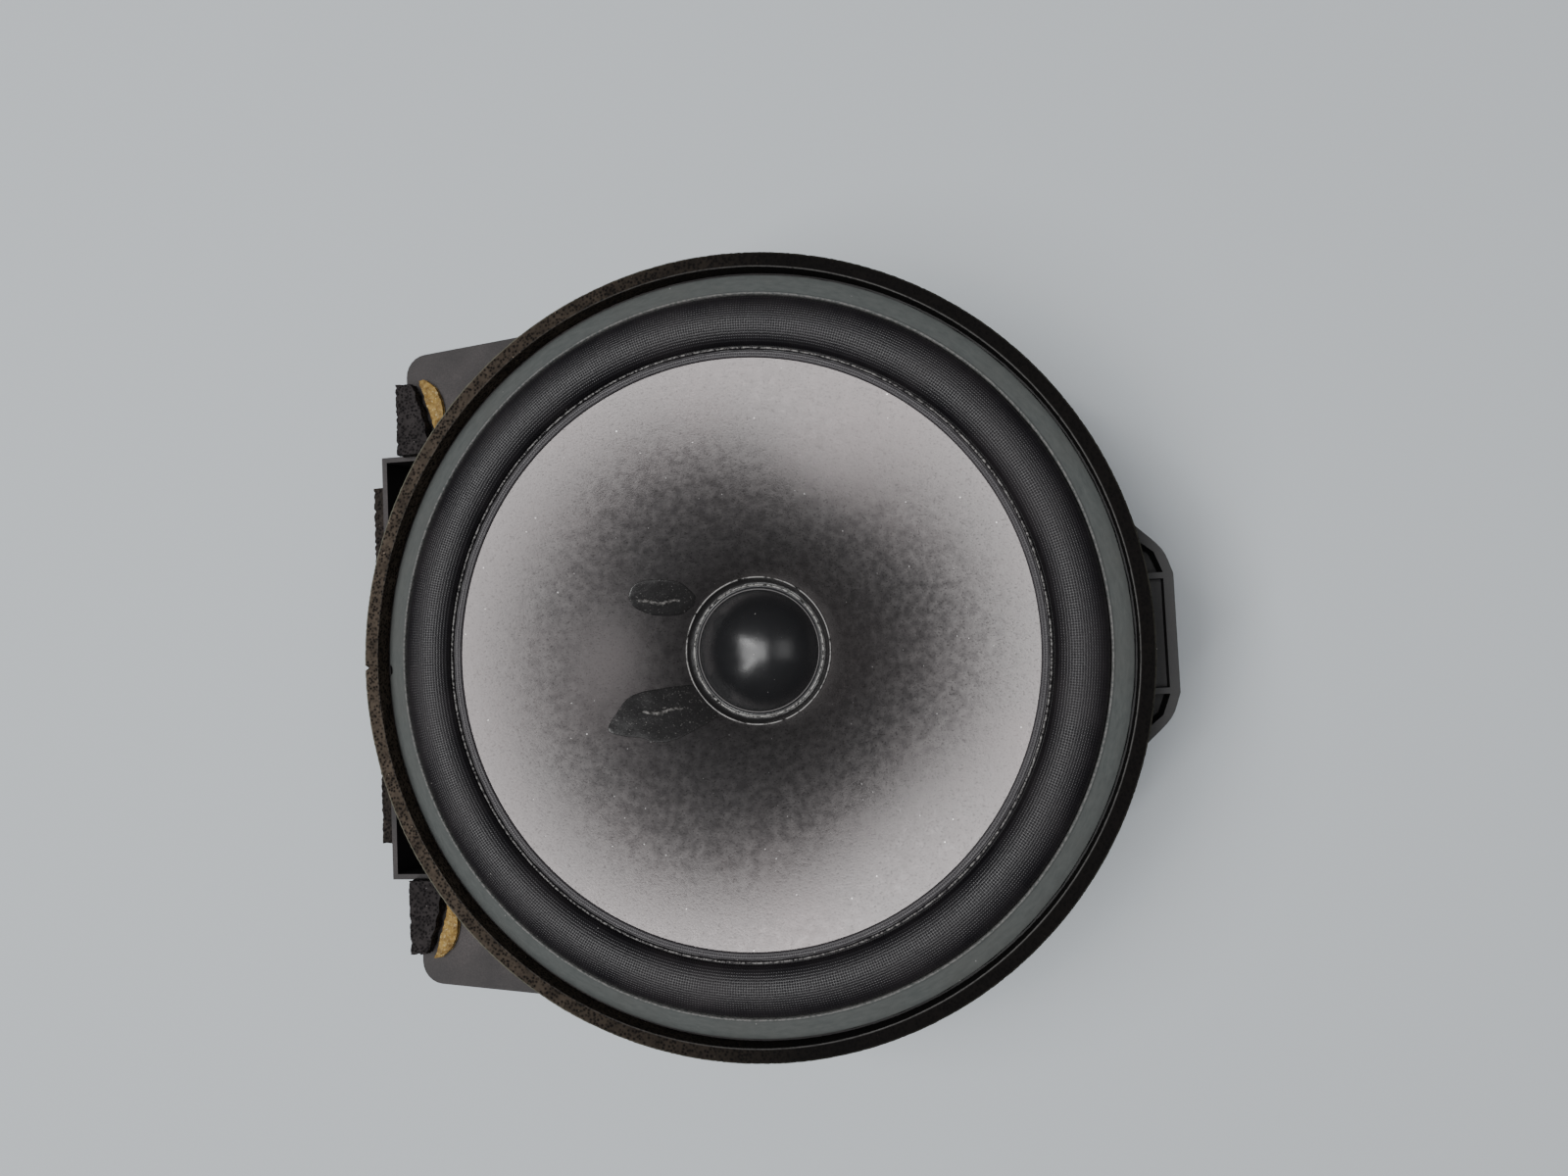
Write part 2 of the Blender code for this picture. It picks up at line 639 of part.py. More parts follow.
def rivet_places():
    return [
        (RIVET_CIRCLE_R * math.cos(math.radians(a)), RIVET_CIRCLE_R * math.sin(math.radians(a)))
        for a in RIVET_ANGLES
    ]


def softened(corners, cut):
    """A ring profile of four corners with each corner cut off."""
    (in_r, top), (out_r, _), (_, low), _ = corners
    return [
        (in_r, top - cut), (in_r + cut, top), (out_r - cut, top), (out_r, top - cut),
        (out_r, low + cut), (out_r - cut, low), (in_r + cut, low), (in_r, low + cut),
    ]


# Terminals and lead wires

def make_terminals(parts, cutters, looks):
    block = box("terminal_block", (BLOCK_X[0], -BLOCK_Y, BLOCK_Z[0]), (BLOCK_X[1], BLOCK_Y, BLOCK_Z[1]), parts)
    low = (BLOCK_X[0] - MM, -SOCKET_Y, SOCKET_Z[0])
    boolean(block, box("socket_cutter", low, (SOCKET_X, SOCKET_Y, SOCKET_Z[1]), cutters), "DIFFERENCE")
    for side in (1, -1):
        low = (SOCKET_X - MM, side * BLADE_Y - BLADE_W / 2 - GAP, BLADE_Z - GAP)
        high = (BLOCK_X[1] + MM, side * BLADE_Y + BLADE_W / 2 + GAP, BLADE_Z + BLADE_T + GAP)
        boolean(block, box("blade_slot", low, high, cutters), "DIFFERENCE")
    paint(block, looks["plastic"])
    for side, name in ((1, "upper"), (-1, "lower")):
        outline = [
            (BLADE_X[0], BLADE_Z), (BLADE_X[1], BLADE_Z), (BLADE_X[1], BLADE_TOP),
            (BLADE_X[1] - BLADE_T, BLADE_TOP), (BLADE_X[1] - BLADE_T, BLADE_Z + BLADE_T), (BLADE_X[0], BLADE_Z + BLADE_T),
        ]
        blade = plate("blade_" + name, [outline], -BLADE_W / 2, BLADE_W / 2, parts)
        blade.matrix_world = Matrix.Translation((0, side * BLADE_Y, 0)) @ upright() @ blade.matrix_world
        paint(blade, looks["tin"])
        lead("lead_" + name, side, parts, looks["braid"])


def lead(name, side, parts, finish):
    """A braided wire from a blade, down into a slack loop and up to the back of the cone."""
    hole_x, hole_y = LEAD_HOLE
    back = cone_front(math.hypot(hole_x, hole_y)) - LEAD_END_GAP
    route = [Vector((BLADE_X[1] + GAP + LEAD_R, BLADE_Y, BLADE_TOP - MM))]
    route += [Vector(point) * MM for point in LEAD_ROUTE]
    route.append(Vector((hole_x - 0.4 * MM, hole_y, back)))
    curve = bpy.data.curves.new(name, "CURVE")
    curve.dimensions = "3D"
    curve.bevel_depth = LEAD_R
    curve.bevel_resolution = 2
    curve.use_fill_caps = True
    points = smooth(route, 5)
    spline = curve.splines.new("POLY")
    spline.points.add(len(points) - 1)
    for point, (x, y, z) in zip(spline.points, points):
        point.co = (x, side * y, z, 1.0)
    obj = bpy.data.objects.new(name, curve)
    parts.objects.link(obj)
    paint(obj, finish)


def smooth(route, steps):
    """Points on a smooth curve through the route's own points."""
    ends = [2 * route[0] - route[1]] + route + [2 * route[-1] - route[-2]]
    found = []
    for i in range(1, len(ends) - 2):
        before, start, end, after = ends[i - 1:i + 3]
        for k in range(steps):
            t = k / steps
            found.append(0.5 * (
                2 * start + (end - before) * t
                + (2 * before - 5 * start + 4 * end - after) * t**2
                + (3 * start - before - 3 * end + after) * t**3
            ))
    return found + [route[-1]]


# Foam and adhesive on the -X bracket

def make_bracket_foam(parts, looks):
    for side, name in ((1, "upper"), (-1, "lower")):
        made = plate("foam_pad_" + name, [scaled(PAD_OUTLINE, side)], EAR_TOP + GAP, PAD_TOP, parts)
        paint(made, looks["foam"])
        made = plate("adhesive_" + name, [scaled(ADHESIVE_OUTLINE, side)], EAR_TOP + GAP, ADHESIVE_TOP, parts)
        paint(made, looks["adhesive"])
    low = (STRIP_X[0], STRIP_Y[0], STRIP_Z[0])
    strip = box("foam_strip", low, (STRIP_X[1], STRIP_Y[1], STRIP_Z[1]), parts)
    paint(strip, looks["foam"])


def scaled(outline, side):
    return [(x * MM, side * y * MM) for x, y in outline]


def main():
    clear_scene()
    parts = collection("door_loudspeaker")
    cutters = collection("cutters")
    looks = {
        "chassis": material("black_glass_filled_plastic", (0.045, 0.042, 0.043), 0.6),
        "plastic": material("black_plastic", (0.03, 0.03, 0.03), 0.5),
        "clamp": material("grey_green_card", (0.13, 0.14, 0.135), 0.85),
        "foam": material("black_foam", (0.025, 0.022, 0.02), 0.95),
        "rubber": material("black_rubber", (0.022, 0.021, 0.024), 0.55),
        "cone": material("silver_grey_cone", (0.36, 0.34, 0.335), 0.42),
        "cap": material("gloss_black_cap", (0.02, 0.02, 0.022), 0.22),
        "glue": material("black_glue", (0.02, 0.02, 0.02), 0.3),
        "former": material("aluminium_former", (0.7, 0.7, 0.7), 0.35, 1.0),
        "copper": material("copper", (0.72, 0.36, 0.2), 0.35, 1.0),
        "cloth": material("tan_spider_cloth", (0.5, 0.3, 0.12), 0.9),
        "ferrite": material("ferrite", (0.05, 0.05, 0.055), 0.55),
        "steel": material("zinc_plated_steel", (0.6, 0.6, 0.58), 0.35, 1.0),
        "zinc": material("rivet_zinc", (0.7, 0.7, 0.7), 0.3, 1.0),
        "tin": material("tinned_brass", (0.75, 0.72, 0.6), 0.3, 1.0),
        "braid": material("tinsel_braid", (0.72, 0.45, 0.3), 0.45, 1.0),
        "adhesive": material("yellow_adhesive", (0.55, 0.36, 0.08), 0.8),
    }
    axis = bpy.data.objects.new("cone_travel_axis", None)
    parts.objects.link(axis)
    make_chassis(parts, cutters, looks["chassis"])
    make_front(parts, looks["foam"], looks["clamp"], looks["rubber"])
    make_cone(parts, axis, looks)
    make_spider(parts, looks["cloth"])
    make_motor(parts, cutters, looks)
    make_terminals(parts, cutters, looks)
    make_bracket_foam(parts, looks)
    for cutter in cutters.objects:
        cutter.hide_render = True
        cutter.display_type = "WIRE"


main()
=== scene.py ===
import math

import bmesh
import bpy
from mathutils import Matrix, Vector, noise
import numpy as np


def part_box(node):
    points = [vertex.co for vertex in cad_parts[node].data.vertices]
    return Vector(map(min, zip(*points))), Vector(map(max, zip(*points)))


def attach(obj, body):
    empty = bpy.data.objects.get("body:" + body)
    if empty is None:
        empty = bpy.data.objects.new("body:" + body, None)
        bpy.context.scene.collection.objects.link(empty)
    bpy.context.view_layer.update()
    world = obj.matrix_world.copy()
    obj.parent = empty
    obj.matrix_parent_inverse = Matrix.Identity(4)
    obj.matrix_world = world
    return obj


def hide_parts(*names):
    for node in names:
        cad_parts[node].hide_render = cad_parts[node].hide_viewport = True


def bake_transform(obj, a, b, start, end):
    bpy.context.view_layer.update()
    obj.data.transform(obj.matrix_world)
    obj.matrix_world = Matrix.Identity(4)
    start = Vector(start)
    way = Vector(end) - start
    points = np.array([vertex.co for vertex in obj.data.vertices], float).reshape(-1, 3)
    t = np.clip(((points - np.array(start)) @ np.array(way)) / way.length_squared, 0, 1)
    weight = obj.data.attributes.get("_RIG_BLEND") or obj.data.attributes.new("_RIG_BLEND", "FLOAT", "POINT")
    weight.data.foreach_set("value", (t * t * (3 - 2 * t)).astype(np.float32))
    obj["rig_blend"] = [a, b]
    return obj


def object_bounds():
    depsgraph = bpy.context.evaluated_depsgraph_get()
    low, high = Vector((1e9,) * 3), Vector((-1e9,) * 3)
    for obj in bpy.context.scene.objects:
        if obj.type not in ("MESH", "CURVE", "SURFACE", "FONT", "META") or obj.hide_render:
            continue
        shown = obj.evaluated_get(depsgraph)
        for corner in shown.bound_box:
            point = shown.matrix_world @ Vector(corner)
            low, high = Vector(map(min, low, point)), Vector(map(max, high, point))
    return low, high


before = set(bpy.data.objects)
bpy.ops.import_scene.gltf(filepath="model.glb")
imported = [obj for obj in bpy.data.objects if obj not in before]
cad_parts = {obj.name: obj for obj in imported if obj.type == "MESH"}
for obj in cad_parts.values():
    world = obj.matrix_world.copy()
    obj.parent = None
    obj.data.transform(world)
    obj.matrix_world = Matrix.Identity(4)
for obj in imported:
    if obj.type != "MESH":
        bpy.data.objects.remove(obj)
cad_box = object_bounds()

MM = 0.001


# The bench the loudspeaker lies on: a plain pale sheet, the only thing here that
# isn't part of the loudspeaker.

def finish(name, colour, rough, metal=0.0, specular=0.5):
    """A new material and its shader, with the values that are the same all over."""
    made = bpy.data.materials.new(name)
    made.use_nodes = True
    shader = made.node_tree.nodes["Principled BSDF"]
    shader.inputs["Base Color"].default_value = (*colour, 1.0)
    shader.inputs["Roughness"].default_value = rough
    shader.inputs["Metallic"].default_value = metal
    shader.inputs["Specular IOR Level"].default_value = specular
    return made


bench_work = bmesh.new()
bmesh.ops.create_grid(bench_work, x_segments=1, y_segments=1, size=6.0)
bench_mesh = bpy.data.meshes.new("bench")
bench_work.to_mesh(bench_mesh)
bench_work.free()
bench = bpy.data.objects.new("bench", bench_mesh)
bpy.context.scene.collection.objects.link(bench)
bench_mesh.transform(Matrix.Translation((0, 0, cad_box[0][2] - 0.2 * MM)))
bench.data.materials.append(finish("pale_bench_top", (0.66, 0.70, 0.73), 0.7))


# The camera: held in the hand over the loudspeaker, a little to the loop's side,
# with a wide lens.

camera_data = bpy.data.cameras.new("camera")
camera_data.sensor_width = 36.0
camera_data.lens = 25.875
camera_data.clip_start = 0.01
camera = bpy.data.objects.new("camera", camera_data)
camera.location = (54.13 * MM, 1.04 * MM, cad_box[1][2] + 228.16 * MM)
back = Vector((0.18508, -0.05015, 0.98144)).normalized()
right = Vector((0.98128, -0.04470, -0.18734)).normalized()
up = back.cross(right)
camera.rotation_euler = Matrix((right, up, back)).transposed().to_euler()
bpy.context.scene.collection.objects.link(camera)
bpy.context.scene.camera = camera


# The light: a pair of long lamps in line overhead, a little to the bracket's side,
# a soft panel behind them, a weaker one over the loop's side, and the dim room.

def lamp(name, power, size, at, aim):
    data = bpy.data.lights.new(name, "AREA")
    data.shape = "RECTANGLE"
    data.size, data.size_y = size
    data.energy = power
    made = bpy.data.objects.new(name, data)
    made.location = at
    made.rotation_euler = (Vector(aim) - Vector(at)).to_track_quat("-Z", "Y").to_euler()
    bpy.context.scene.collection.objects.link(made)
    return made


lamp("tube_north", 3.0, (0.06, 0.52), (-0.45, 0.27, 1.25), (0.0, 0.10, 0.0))
lamp("tube_south", 3.0, (0.06, 0.52), (-0.45, -0.43, 1.25), (0.0, -0.10, 0.0))
lamp("ceiling", 20.0, (1.2, 0.85), (-0.42, -0.03, 1.9), (-0.42, 0.0, 0.0))
lamp("far_side", 3.5, (0.9, 0.8), (1.1, 0.0, 1.9), (0.3, 0.0, 0.0))

room = bpy.data.worlds.new("room")
room.use_nodes = True
bpy.context.scene.world = room
sky = room.node_tree.nodes
sky_links = room.node_tree.links
sky_place = sky.new("ShaderNodeTexCoord")
sky_split = sky.new("ShaderNodeSeparateXYZ")
sky_links.new(sky_place.outputs["Generated"], sky_split.inputs[0])
sky_ramp = sky.new("ShaderNodeValToRGB")
bands = sky_ramp.color_ramp.elements
bands[0].position = 0.06
bands[0].color = (0.30, 0.31, 0.32, 1.0)
bands[1].position = 0.95
bands[1].color = (0.42, 0.43, 0.45, 1.0)
bands.new(0.22).color = (0.05, 0.052, 0.055, 1.0)
sky_links.new(sky_split.outputs["Z"], sky_ramp.inputs[0])
sky_links.new(sky_ramp.outputs[0], sky["Background"].inputs["Color"])
sky["Background"].inputs["Strength"].default_value = 0.6


# Yoke: a turned steel base and pole, zinc plated. The ferrite ring stands on it.

def solid(name, work, sharp=38.0):
    """The finished bmesh as an object, smooth but for edges sharper than the angle."""
    mesh = bpy.data.meshes.new(name)
    work.to_mesh(mesh)
    work.free()
    mesh.shade_smooth()
    mesh.set_sharp_from_angle(angle=math.radians(sharp))
    made = bpy.data.objects.new(name, mesh)
    bpy.context.scene.collection.objects.link(made)
    return made


def spun(profile, steps=144, closed=True):
    """A bmesh of a profile of (radius, z) turned about the speaker's axis."""
    work = bmesh.new()
    points = [work.verts.new((r, 0.0, z)) for r, z in profile]
    lines = [work.edges.new(pair) for pair in zip(points, points[1:])]
    if closed:
        lines.append(work.edges.new((points[-1], points[0])))
    bmesh.ops.spin(
        work, geom=points + lines, cent=(0, 0, 0), axis=(0, 0, 1), dvec=(0, 0, 0),
        angle=math.tau, steps=steps, use_merge=True, use_normal_flip=False, use_duplicate=False,
    )
    bmesh.ops.remove_doubles(work, verts=work.verts, dist=0.001 * MM)
    bmesh.ops.recalc_face_normals(work, faces=work.faces)
    return work


def eased(profile, reach, closed=True, steps=3):
    """The profile with every corner rounded over at most the reach."""
    count = len(profile)
    done = []
    for i, point in enumerate(profile):
        here = Vector(point)
        if not closed and i in (0, count - 1):
            done.append(tuple(here))
            continue
        before = Vector(profile[i - 1]) - here
        after = Vector(profile[(i + 1) % count]) - here
        cut = min(reach, before.length * 0.45, after.length * 0.45)
        start = here + before.normalized() * cut
        end = here + after.normalized() * cut
        for k in range(steps + 1):
            t = k / steps
            done.append(tuple(start * (1 - t) ** 2 + here * 2 * t * (1 - t) + end * t * t))
    return done


def node(of, kind, **settings):
    made = of.node_tree.nodes.new(kind)
    for key, value in settings.items():
        setattr(made, key, value)
    return made


def put(of, value, socket):
    """Links a socket to the socket, or sets the number or colour on it."""
    if isinstance(value, bpy.types.NodeSocket):
        of.node_tree.links.new(value, socket)
    else:
        socket.default_value = value


def sums(of, operation, a, b=0.0, clamp=False):
    made = node(of, "ShaderNodeMath", operation=operation, use_clamp=clamp)
    put(of, a, made.inputs[0])
    put(of, b, made.inputs[1])
    return made.outputs[0]


def place(of):
    """Places on the loudspeaker, in metres."""
    return node(of, "ShaderNodeTexCoord").outputs["Object"]


def stretched(of, where, scale):
    made = node(of, "ShaderNodeMapping")
    put(of, where, made.inputs["Vector"])
    made.inputs["Scale"].default_value = scale
    return made.outputs[0]


def cloud(of, where, scale, detail=4.0, rough=0.55):
    made = node(of, "ShaderNodeTexNoise")
    put(of, where, made.inputs["Vector"])
    made.inputs["Scale"].default_value = scale
    made.inputs["Detail"].default_value = detail
    made.inputs["Roughness"].default_value = rough
    return made.outputs["Fac"]


def between(of, value, low, high, to_low=0.0, to_high=1.0):
    """The value's stretch from low to high, spread over to_low to to_high and held there."""
    made = node(of, "ShaderNodeMapRange", clamp=True)
    put(of, value, made.inputs["Value"])
    for key, number in (("From Min", low), ("From Max", high), ("To Min", to_low), ("To Max", to_high)):
        put(of, number, made.inputs[key])
    return made.outputs["Result"]


def blended(of, share, first, second):
    """A colour that goes from the first to the second with the share."""
    made = node(of, "ShaderNodeMix", data_type="RGBA")
    put(of, share, made.inputs[0])
    for colour, socket in ((first, made.inputs[6]), (second, made.inputs[7])):
        put(of, (*colour, 1.0) if isinstance(colour, tuple) else colour, socket)
    return made.outputs[2]


def flecks(of, where, per_metre, size, keep=0.5):
    """Small round spots, where only a share of the cells has one."""
    cells = node(of, "ShaderNodeTexVoronoi")
    put(of, where, cells.inputs["Vector"])
    cells.inputs["Scale"].default_value = per_metre
    spot = sums(of, "LESS_THAN", cells.outputs["Distance"], size * per_metre)
    pick = node(of, "ShaderNodeSeparateColor")
    put(of, cells.outputs["Color"], pick.inputs[0])
    return sums(of, "MULTIPLY", spot, sums(of, "LESS_THAN", pick.outputs[0], keep))


def colour_of(of, value):
    put(of, value, of.node_tree.nodes["Principled BSDF"].inputs["Base Color"])


def roughness_of(of, value):
    put(of, value, of.node_tree.nodes["Principled BSDF"].inputs["Roughness"])


def relief(of, height, depth, strength=1.0):
    """Bump of the height, in metres, added to any that the material has."""
    shader = of.node_tree.nodes["Principled BSDF"]
    made = node(of, "ShaderNodeBump")
    made.inputs["Strength"].default_value = strength
    made.inputs["Distance"].default_value = depth
    put(of, height, made.inputs["Height"])
    earlier = shader.inputs["Normal"].links
    if earlier:
        of.node_tree.links.new(earlier[0].from_socket, made.inputs["Normal"])
    of.node_tree.links.new(made.outputs[0], shader.inputs["Normal"])


def plated(name, colour):
    """Zinc plating: a satin metal with a faint turned grain and dull blotches."""
    made = finish(name, colour, 0.36, 1.0)
    where = place(made)
    blotch = cloud(made, where, 120.0, 5.0, 0.6)
    grain = cloud(made, stretched(made, where, (1.0, 1.0, 14.0)), 900.0, 2.0)
    dull = tuple(c * 0.62 for c in colour)
    colour_of(made, blended(made, between(made, blotch, 0.4, 0.75), colour, dull))
    roughness_of(made, between(made, blotch, 0.3, 0.8, 0.3, 0.58))
    relief(made, grain, 0.03 * MM, 0.5)
    return made


def dress(piece, look):
    piece.data.materials.clear()
    piece.data.materials.append(look)


yoke_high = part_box("yoke")[1]
yoke_r = yoke_high[0]
yoke_t = 5.0 * MM
pole_r = 11.6 * MM
yoke = solid("yoke_turned", spun(eased([
    (0.0, yoke_high[2]), (pole_r, yoke_high[2]), (pole_r, yoke_t), (yoke_r, yoke_t),
    (yoke_r, MM), (yoke_r - MM, 0.0), (26.0 * MM, 0.0), (25.6 * MM, 0.25 * MM),
    (24.4 * MM, 0.25 * MM), (24.0 * MM, 0.0), (0.0, 0.0),
], 0.5 * MM, closed=False), closed=False))
zinc = plated("zinc_plated_steel", (0.62, 0.60, 0.55))
dress(yoke, zinc)
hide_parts("yoke")
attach(yoke, "frame")


# Copper cap pressed over the pole, to keep the coil's inductance down.

copper_low, copper_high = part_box("pole_cap")
copper_in = pole_r + 0.1 * MM
copper_wall = copper_high[2] - 0.55 * MM
pole_cap = solid("pole_cap_pressed", spun(eased([
    (0.0, copper_high[2]), (copper_high[0], copper_high[2]), (copper_high[0], copper_low[2]),
    (copper_in, copper_low[2]), (copper_in, copper_wall), (0.0, copper_wall),
], 0.3 * MM, closed=False), closed=False))
copper = finish("bare_copper", (0.70, 0.33, 0.19), 0.3, 1.0)
tarnish = cloud(copper, place(copper), 260.0, 4.0)
colour_of(
    copper, blended(copper, between(copper, tarnish, 0.4, 0.7), (0.70, 0.33, 0.19), (0.36, 0.16, 0.09)),
)
dress(pole_cap, copper)
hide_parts("pole_cap")
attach(pole_cap, "frame")


# Ferrite ring magnet: pressed and ground ceramic, glued between yoke and top plate,
# with chipped arrises and smears of set glue in its joints.

magnet_low, magnet_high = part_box("magnet")
magnet_bore = 16.5 * MM
magnet_profile = eased([
    (magnet_bore, magnet_high[2]), (magnet_high[0] - 0.8 * MM, magnet_high[2]),
    (magnet_high[0], magnet_high[2] - 0.8 * MM), (magnet_high[0], magnet_low[2] + 0.8 * MM),
    (magnet_high[0] - 0.8 * MM, magnet_low[2]), (magnet_bore, magnet_low[2]),
], 0.25 * MM)
magnet_work = spun(magnet_profile, 360)
for vert in magnet_work.verts:
    chip = noise.noise(vert.co * 300.0)
    if math.hypot(vert.co.x, vert.co.y) > magnet_high[0] - 0.95 * MM and chip > 0.42:
        vert.co *= 1.0 - (chip - 0.42) * 0.02
magnet = solid("ferrite_ring", magnet_work, 30.0)
ferrite = finish("sintered_ferrite", (0.05, 0.05, 0.054), 0.5)
ferrite_place = place(ferrite)
pores = cloud(ferrite, ferrite_place, 1800.0, 3.0, 0.7)
bloom = cloud(ferrite, ferrite_place, 90.0, 5.0, 0.6)
colour_of(
    ferrite,
    blended(ferrite, between(ferrite, bloom, 0.42, 0.72), (0.042, 0.043, 0.048), (0.12, 0.115, 0.11)),
)
roughness_of(ferrite, between(ferrite, pores, 0.3, 0.7, 0.38, 0.66))
relief(ferrite, pores, 0.05 * MM, 0.6)
dress(magnet, ferrite)
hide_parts("magnet")
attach(magnet, "frame")


# Top plate: a blanked steel ring, zinc plated and glued on the magnet. The rivets
# fill its four holes, so the holes are left out.

plate_low, plate_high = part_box("top_plate")
plate_bore = 14.2 * MM
top_plate = solid("top_plate_blanked", spun(eased([
    (plate_bore, plate_high[2]), (plate_high[0], plate_high[2]),
    (plate_high[0], plate_low[2]), (plate_bore, plate_low[2]),
], 0.5 * MM)))
dress(top_plate, zinc)
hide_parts("top_plate")
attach(top_plate, "frame")


# Chassis: one moulding in black glass-filled plastic, its faces lightly grained and
# its edges softened by the tool. Dust lies on what faces up, more of it towards the bracket's side, and
# rubbed streaks run over it all.

def copied(name, cad_node):
    """A bmesh of a CAD node with its doubles merged and its flat faces made whole."""
    work = bmesh.new()
    work.from_mesh(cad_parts[cad_node].data)
    bmesh.ops.remove_doubles(work, verts=work.verts, dist=0.002 * MM)
    bmesh.ops.dissolve_limit(
        work, angle_limit=math.radians(0.6), verts=work.verts, edges=work.edges,
        use_dissolve_boundaries=False,
    )
    return work


def soften(piece, width, angle=40.0, segments=2):
    edge = piece.modifiers.new("softened_edges", "BEVEL")
    edge.width = width
    edge.segments = segments
    edge.limit_method = "ANGLE"
    edge.angle_limit = math.radians(angle)
    edge.harden_normals = False
    edge.use_clamp_overlap = True


def moulded(name, colour, dust, rough=0.55, grain=2600.0, dusty=0.75):
    """Moulded plastic: a spark-eroded grain, worn patches, and dust on what faces up."""
    made = finish(name, colour, rough)
    where = place(made)
    grains = cloud(made, where, grain, 2.0, 0.7)
    patches = cloud(made, where, 70.0, 6.0, 0.62)
    rub = cloud(made, stretched(made, where, (1.0, 6.0, 1.0)), 260.0, 4.0, 0.6)
    facing = node(made, "ShaderNodeSeparateXYZ")
    put(made, node(made, "ShaderNodeTexCoord").outputs["Normal"], facing.inputs[0])
    upward = between(made, facing.outputs["Z"], 0.15, 0.95)
    lie = sums(made, "MULTIPLY", upward, between(made, patches, 0.34, 0.66, 0.35, 1.0))
    lie = sums(made, "MULTIPLY", lie, between(made, grains, 0.3, 0.65, 0.5, 1.0))
    across = node(made, "ShaderNodeSeparateXYZ")
    put(made, where, across.inputs[0])
    lie = sums(
        made, "MULTIPLY", lie,
        between(made, across.outputs["X"], 40.0 * MM, -30.0 * MM, 0.02 * dusty, dusty),
    )
    worn = blended(made, between(made, rub, 0.5, 0.72, 0.0, 0.5), colour, tuple(c * 1.8 for c in colour))
    coated = blended(made, lie, worn, dust)
    colour_of(made, blended(made, flecks(made, where, 260.0, 0.12 * MM, 0.3), coated, (0.34, 0.33, 0.31)))
    roughness_of(made, between(made, lie, 0.0, 0.6, rough, 0.9))
    relief(made, grains, 0.03 * MM, 0.8)
    relief(made, patches, 0.05 * MM, 0.4)
    return made


chassis = solid("chassis_moulding", copied("chassis_moulding", "chassis"), 30.0)
soften(chassis, 0.35 * MM)
dress(chassis, moulded("black_moulded_plastic", (0.010, 0.0095, 0.010), (0.130, 0.116, 0.115)))
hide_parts("chassis")
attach(chassis, "frame")


# Rivets: four of steel, zinc plated, set with a cupped head. They hold the chassis
# floor down on the top plate.

for number in range(1, 5):
    rivet_low, rivet_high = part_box(f"rivet_{number}")
    centre = (Vector(rivet_low) + Vector(rivet_high)) / 2
    head_r = (rivet_high[0] - rivet_low[0]) / 2
    head_z = rivet_high[2] - 1.5 * MM
    shank_r = head_r * 0.55
    rivet_work = spun(eased([
        (0.0, rivet_high[2] - 0.3 * MM), (head_r * 0.35, rivet_high[2] - 0.3 * MM),
        (head_r * 0.5, rivet_high[2]),
        (head_r * 0.75, rivet_high[2] - 0.15 * MM), (head_r, head_z + 0.35 * MM), (head_r, head_z),
        (shank_r, head_z), (shank_r, rivet_low[2]), (0.0, rivet_low[2]),
    ], 0.3 * MM, closed=False), 40, closed=False)
    bmesh.ops.translate(rivet_work, verts=rivet_work.verts, vec=(centre.x, centre.y, 0.0))
    rivet = solid(f"rivet_{number}_set", rivet_work)
    dress(rivet, zinc)
    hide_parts(f"rivet_{number}")
    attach(rivet, "frame")


# Voice coil: copper wire in a single tight helix on a foil former, with its two ends
# brought up the former. Only its shape is modelled turn by turn, not each wire.

former_low, former_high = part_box("coil_former")
former_in = 12.7 * MM
former = solid("foil_former", spun([
    (former_in, former_high[2]), (former_high[0], former_high[2]),
    (former_high[0], former_low[2]), (former_in, former_low[2]),
]))
foil = finish("aluminium_foil", (0.72, 0.72, 0.73), 0.33, 1.0)
creases = cloud(foil, stretched(foil, place(foil), (1.0, 1.0, 0.25)), 700.0, 4.0)
roughness_of(foil, between(foil, creases, 0.3, 0.7, 0.24, 0.46))
relief(foil, creases, 0.03 * MM, 0.6)
dress(former, foil)
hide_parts("coil_former")
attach(former, "cone_body")

winding_low, winding_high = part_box("coil_winding")
winding_in = 13.0 * MM
turns = 30
turn_h = (winding_high[2] - winding_low[2]) / turns
winding_profile = [(winding_in, winding_high[2])]
for turn in range(turns):
    top = winding_high[2] - turn * turn_h
    for share, swell in ((0.12, 0.55), (0.32, 0.9), (0.5, 1.0), (0.68, 0.9), (0.88, 0.55)):
        depth = (1.0 - swell) * 0.16 * MM
        winding_profile.append((winding_high[0] - depth, top - share * turn_h))
winding_profile.append((winding_in, winding_low[2]))
winding = solid("copper_winding", spun(winding_profile, 96), 80.0)
wire = finish("enamelled_copper", (0.62, 0.23, 0.09), 0.25, 1.0)
roughness_of(wire, between(wire, cloud(wire, place(wire), 400.0), 0.3, 0.7, 0.18, 0.36))
dress(winding, wire)
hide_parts("coil_winding")
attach(winding, "cone_body")


# Spider: woven cloth dipped in resin and hot-pressed into rings of waves. Its inner
# edge is glued to the former and its outer edge to the chassis ledge, so it bends.

def bends_by_radius(piece, held_r, moving_r):
    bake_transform(piece, "frame", "cone_body", start=(held_r, 0, 0), end=(moving_r, 0, 0))
    share = piece.data.attributes["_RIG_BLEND"]
    for vert, stored in zip(piece.data.vertices, share.data):
        reach = (held_r - math.hypot(vert.co.x, vert.co.y)) / (held_r - moving_r)
        reach = min(max(reach, 0.0), 1.0)
        stored.value = reach * reach * (3.0 - 2.0 * reach)


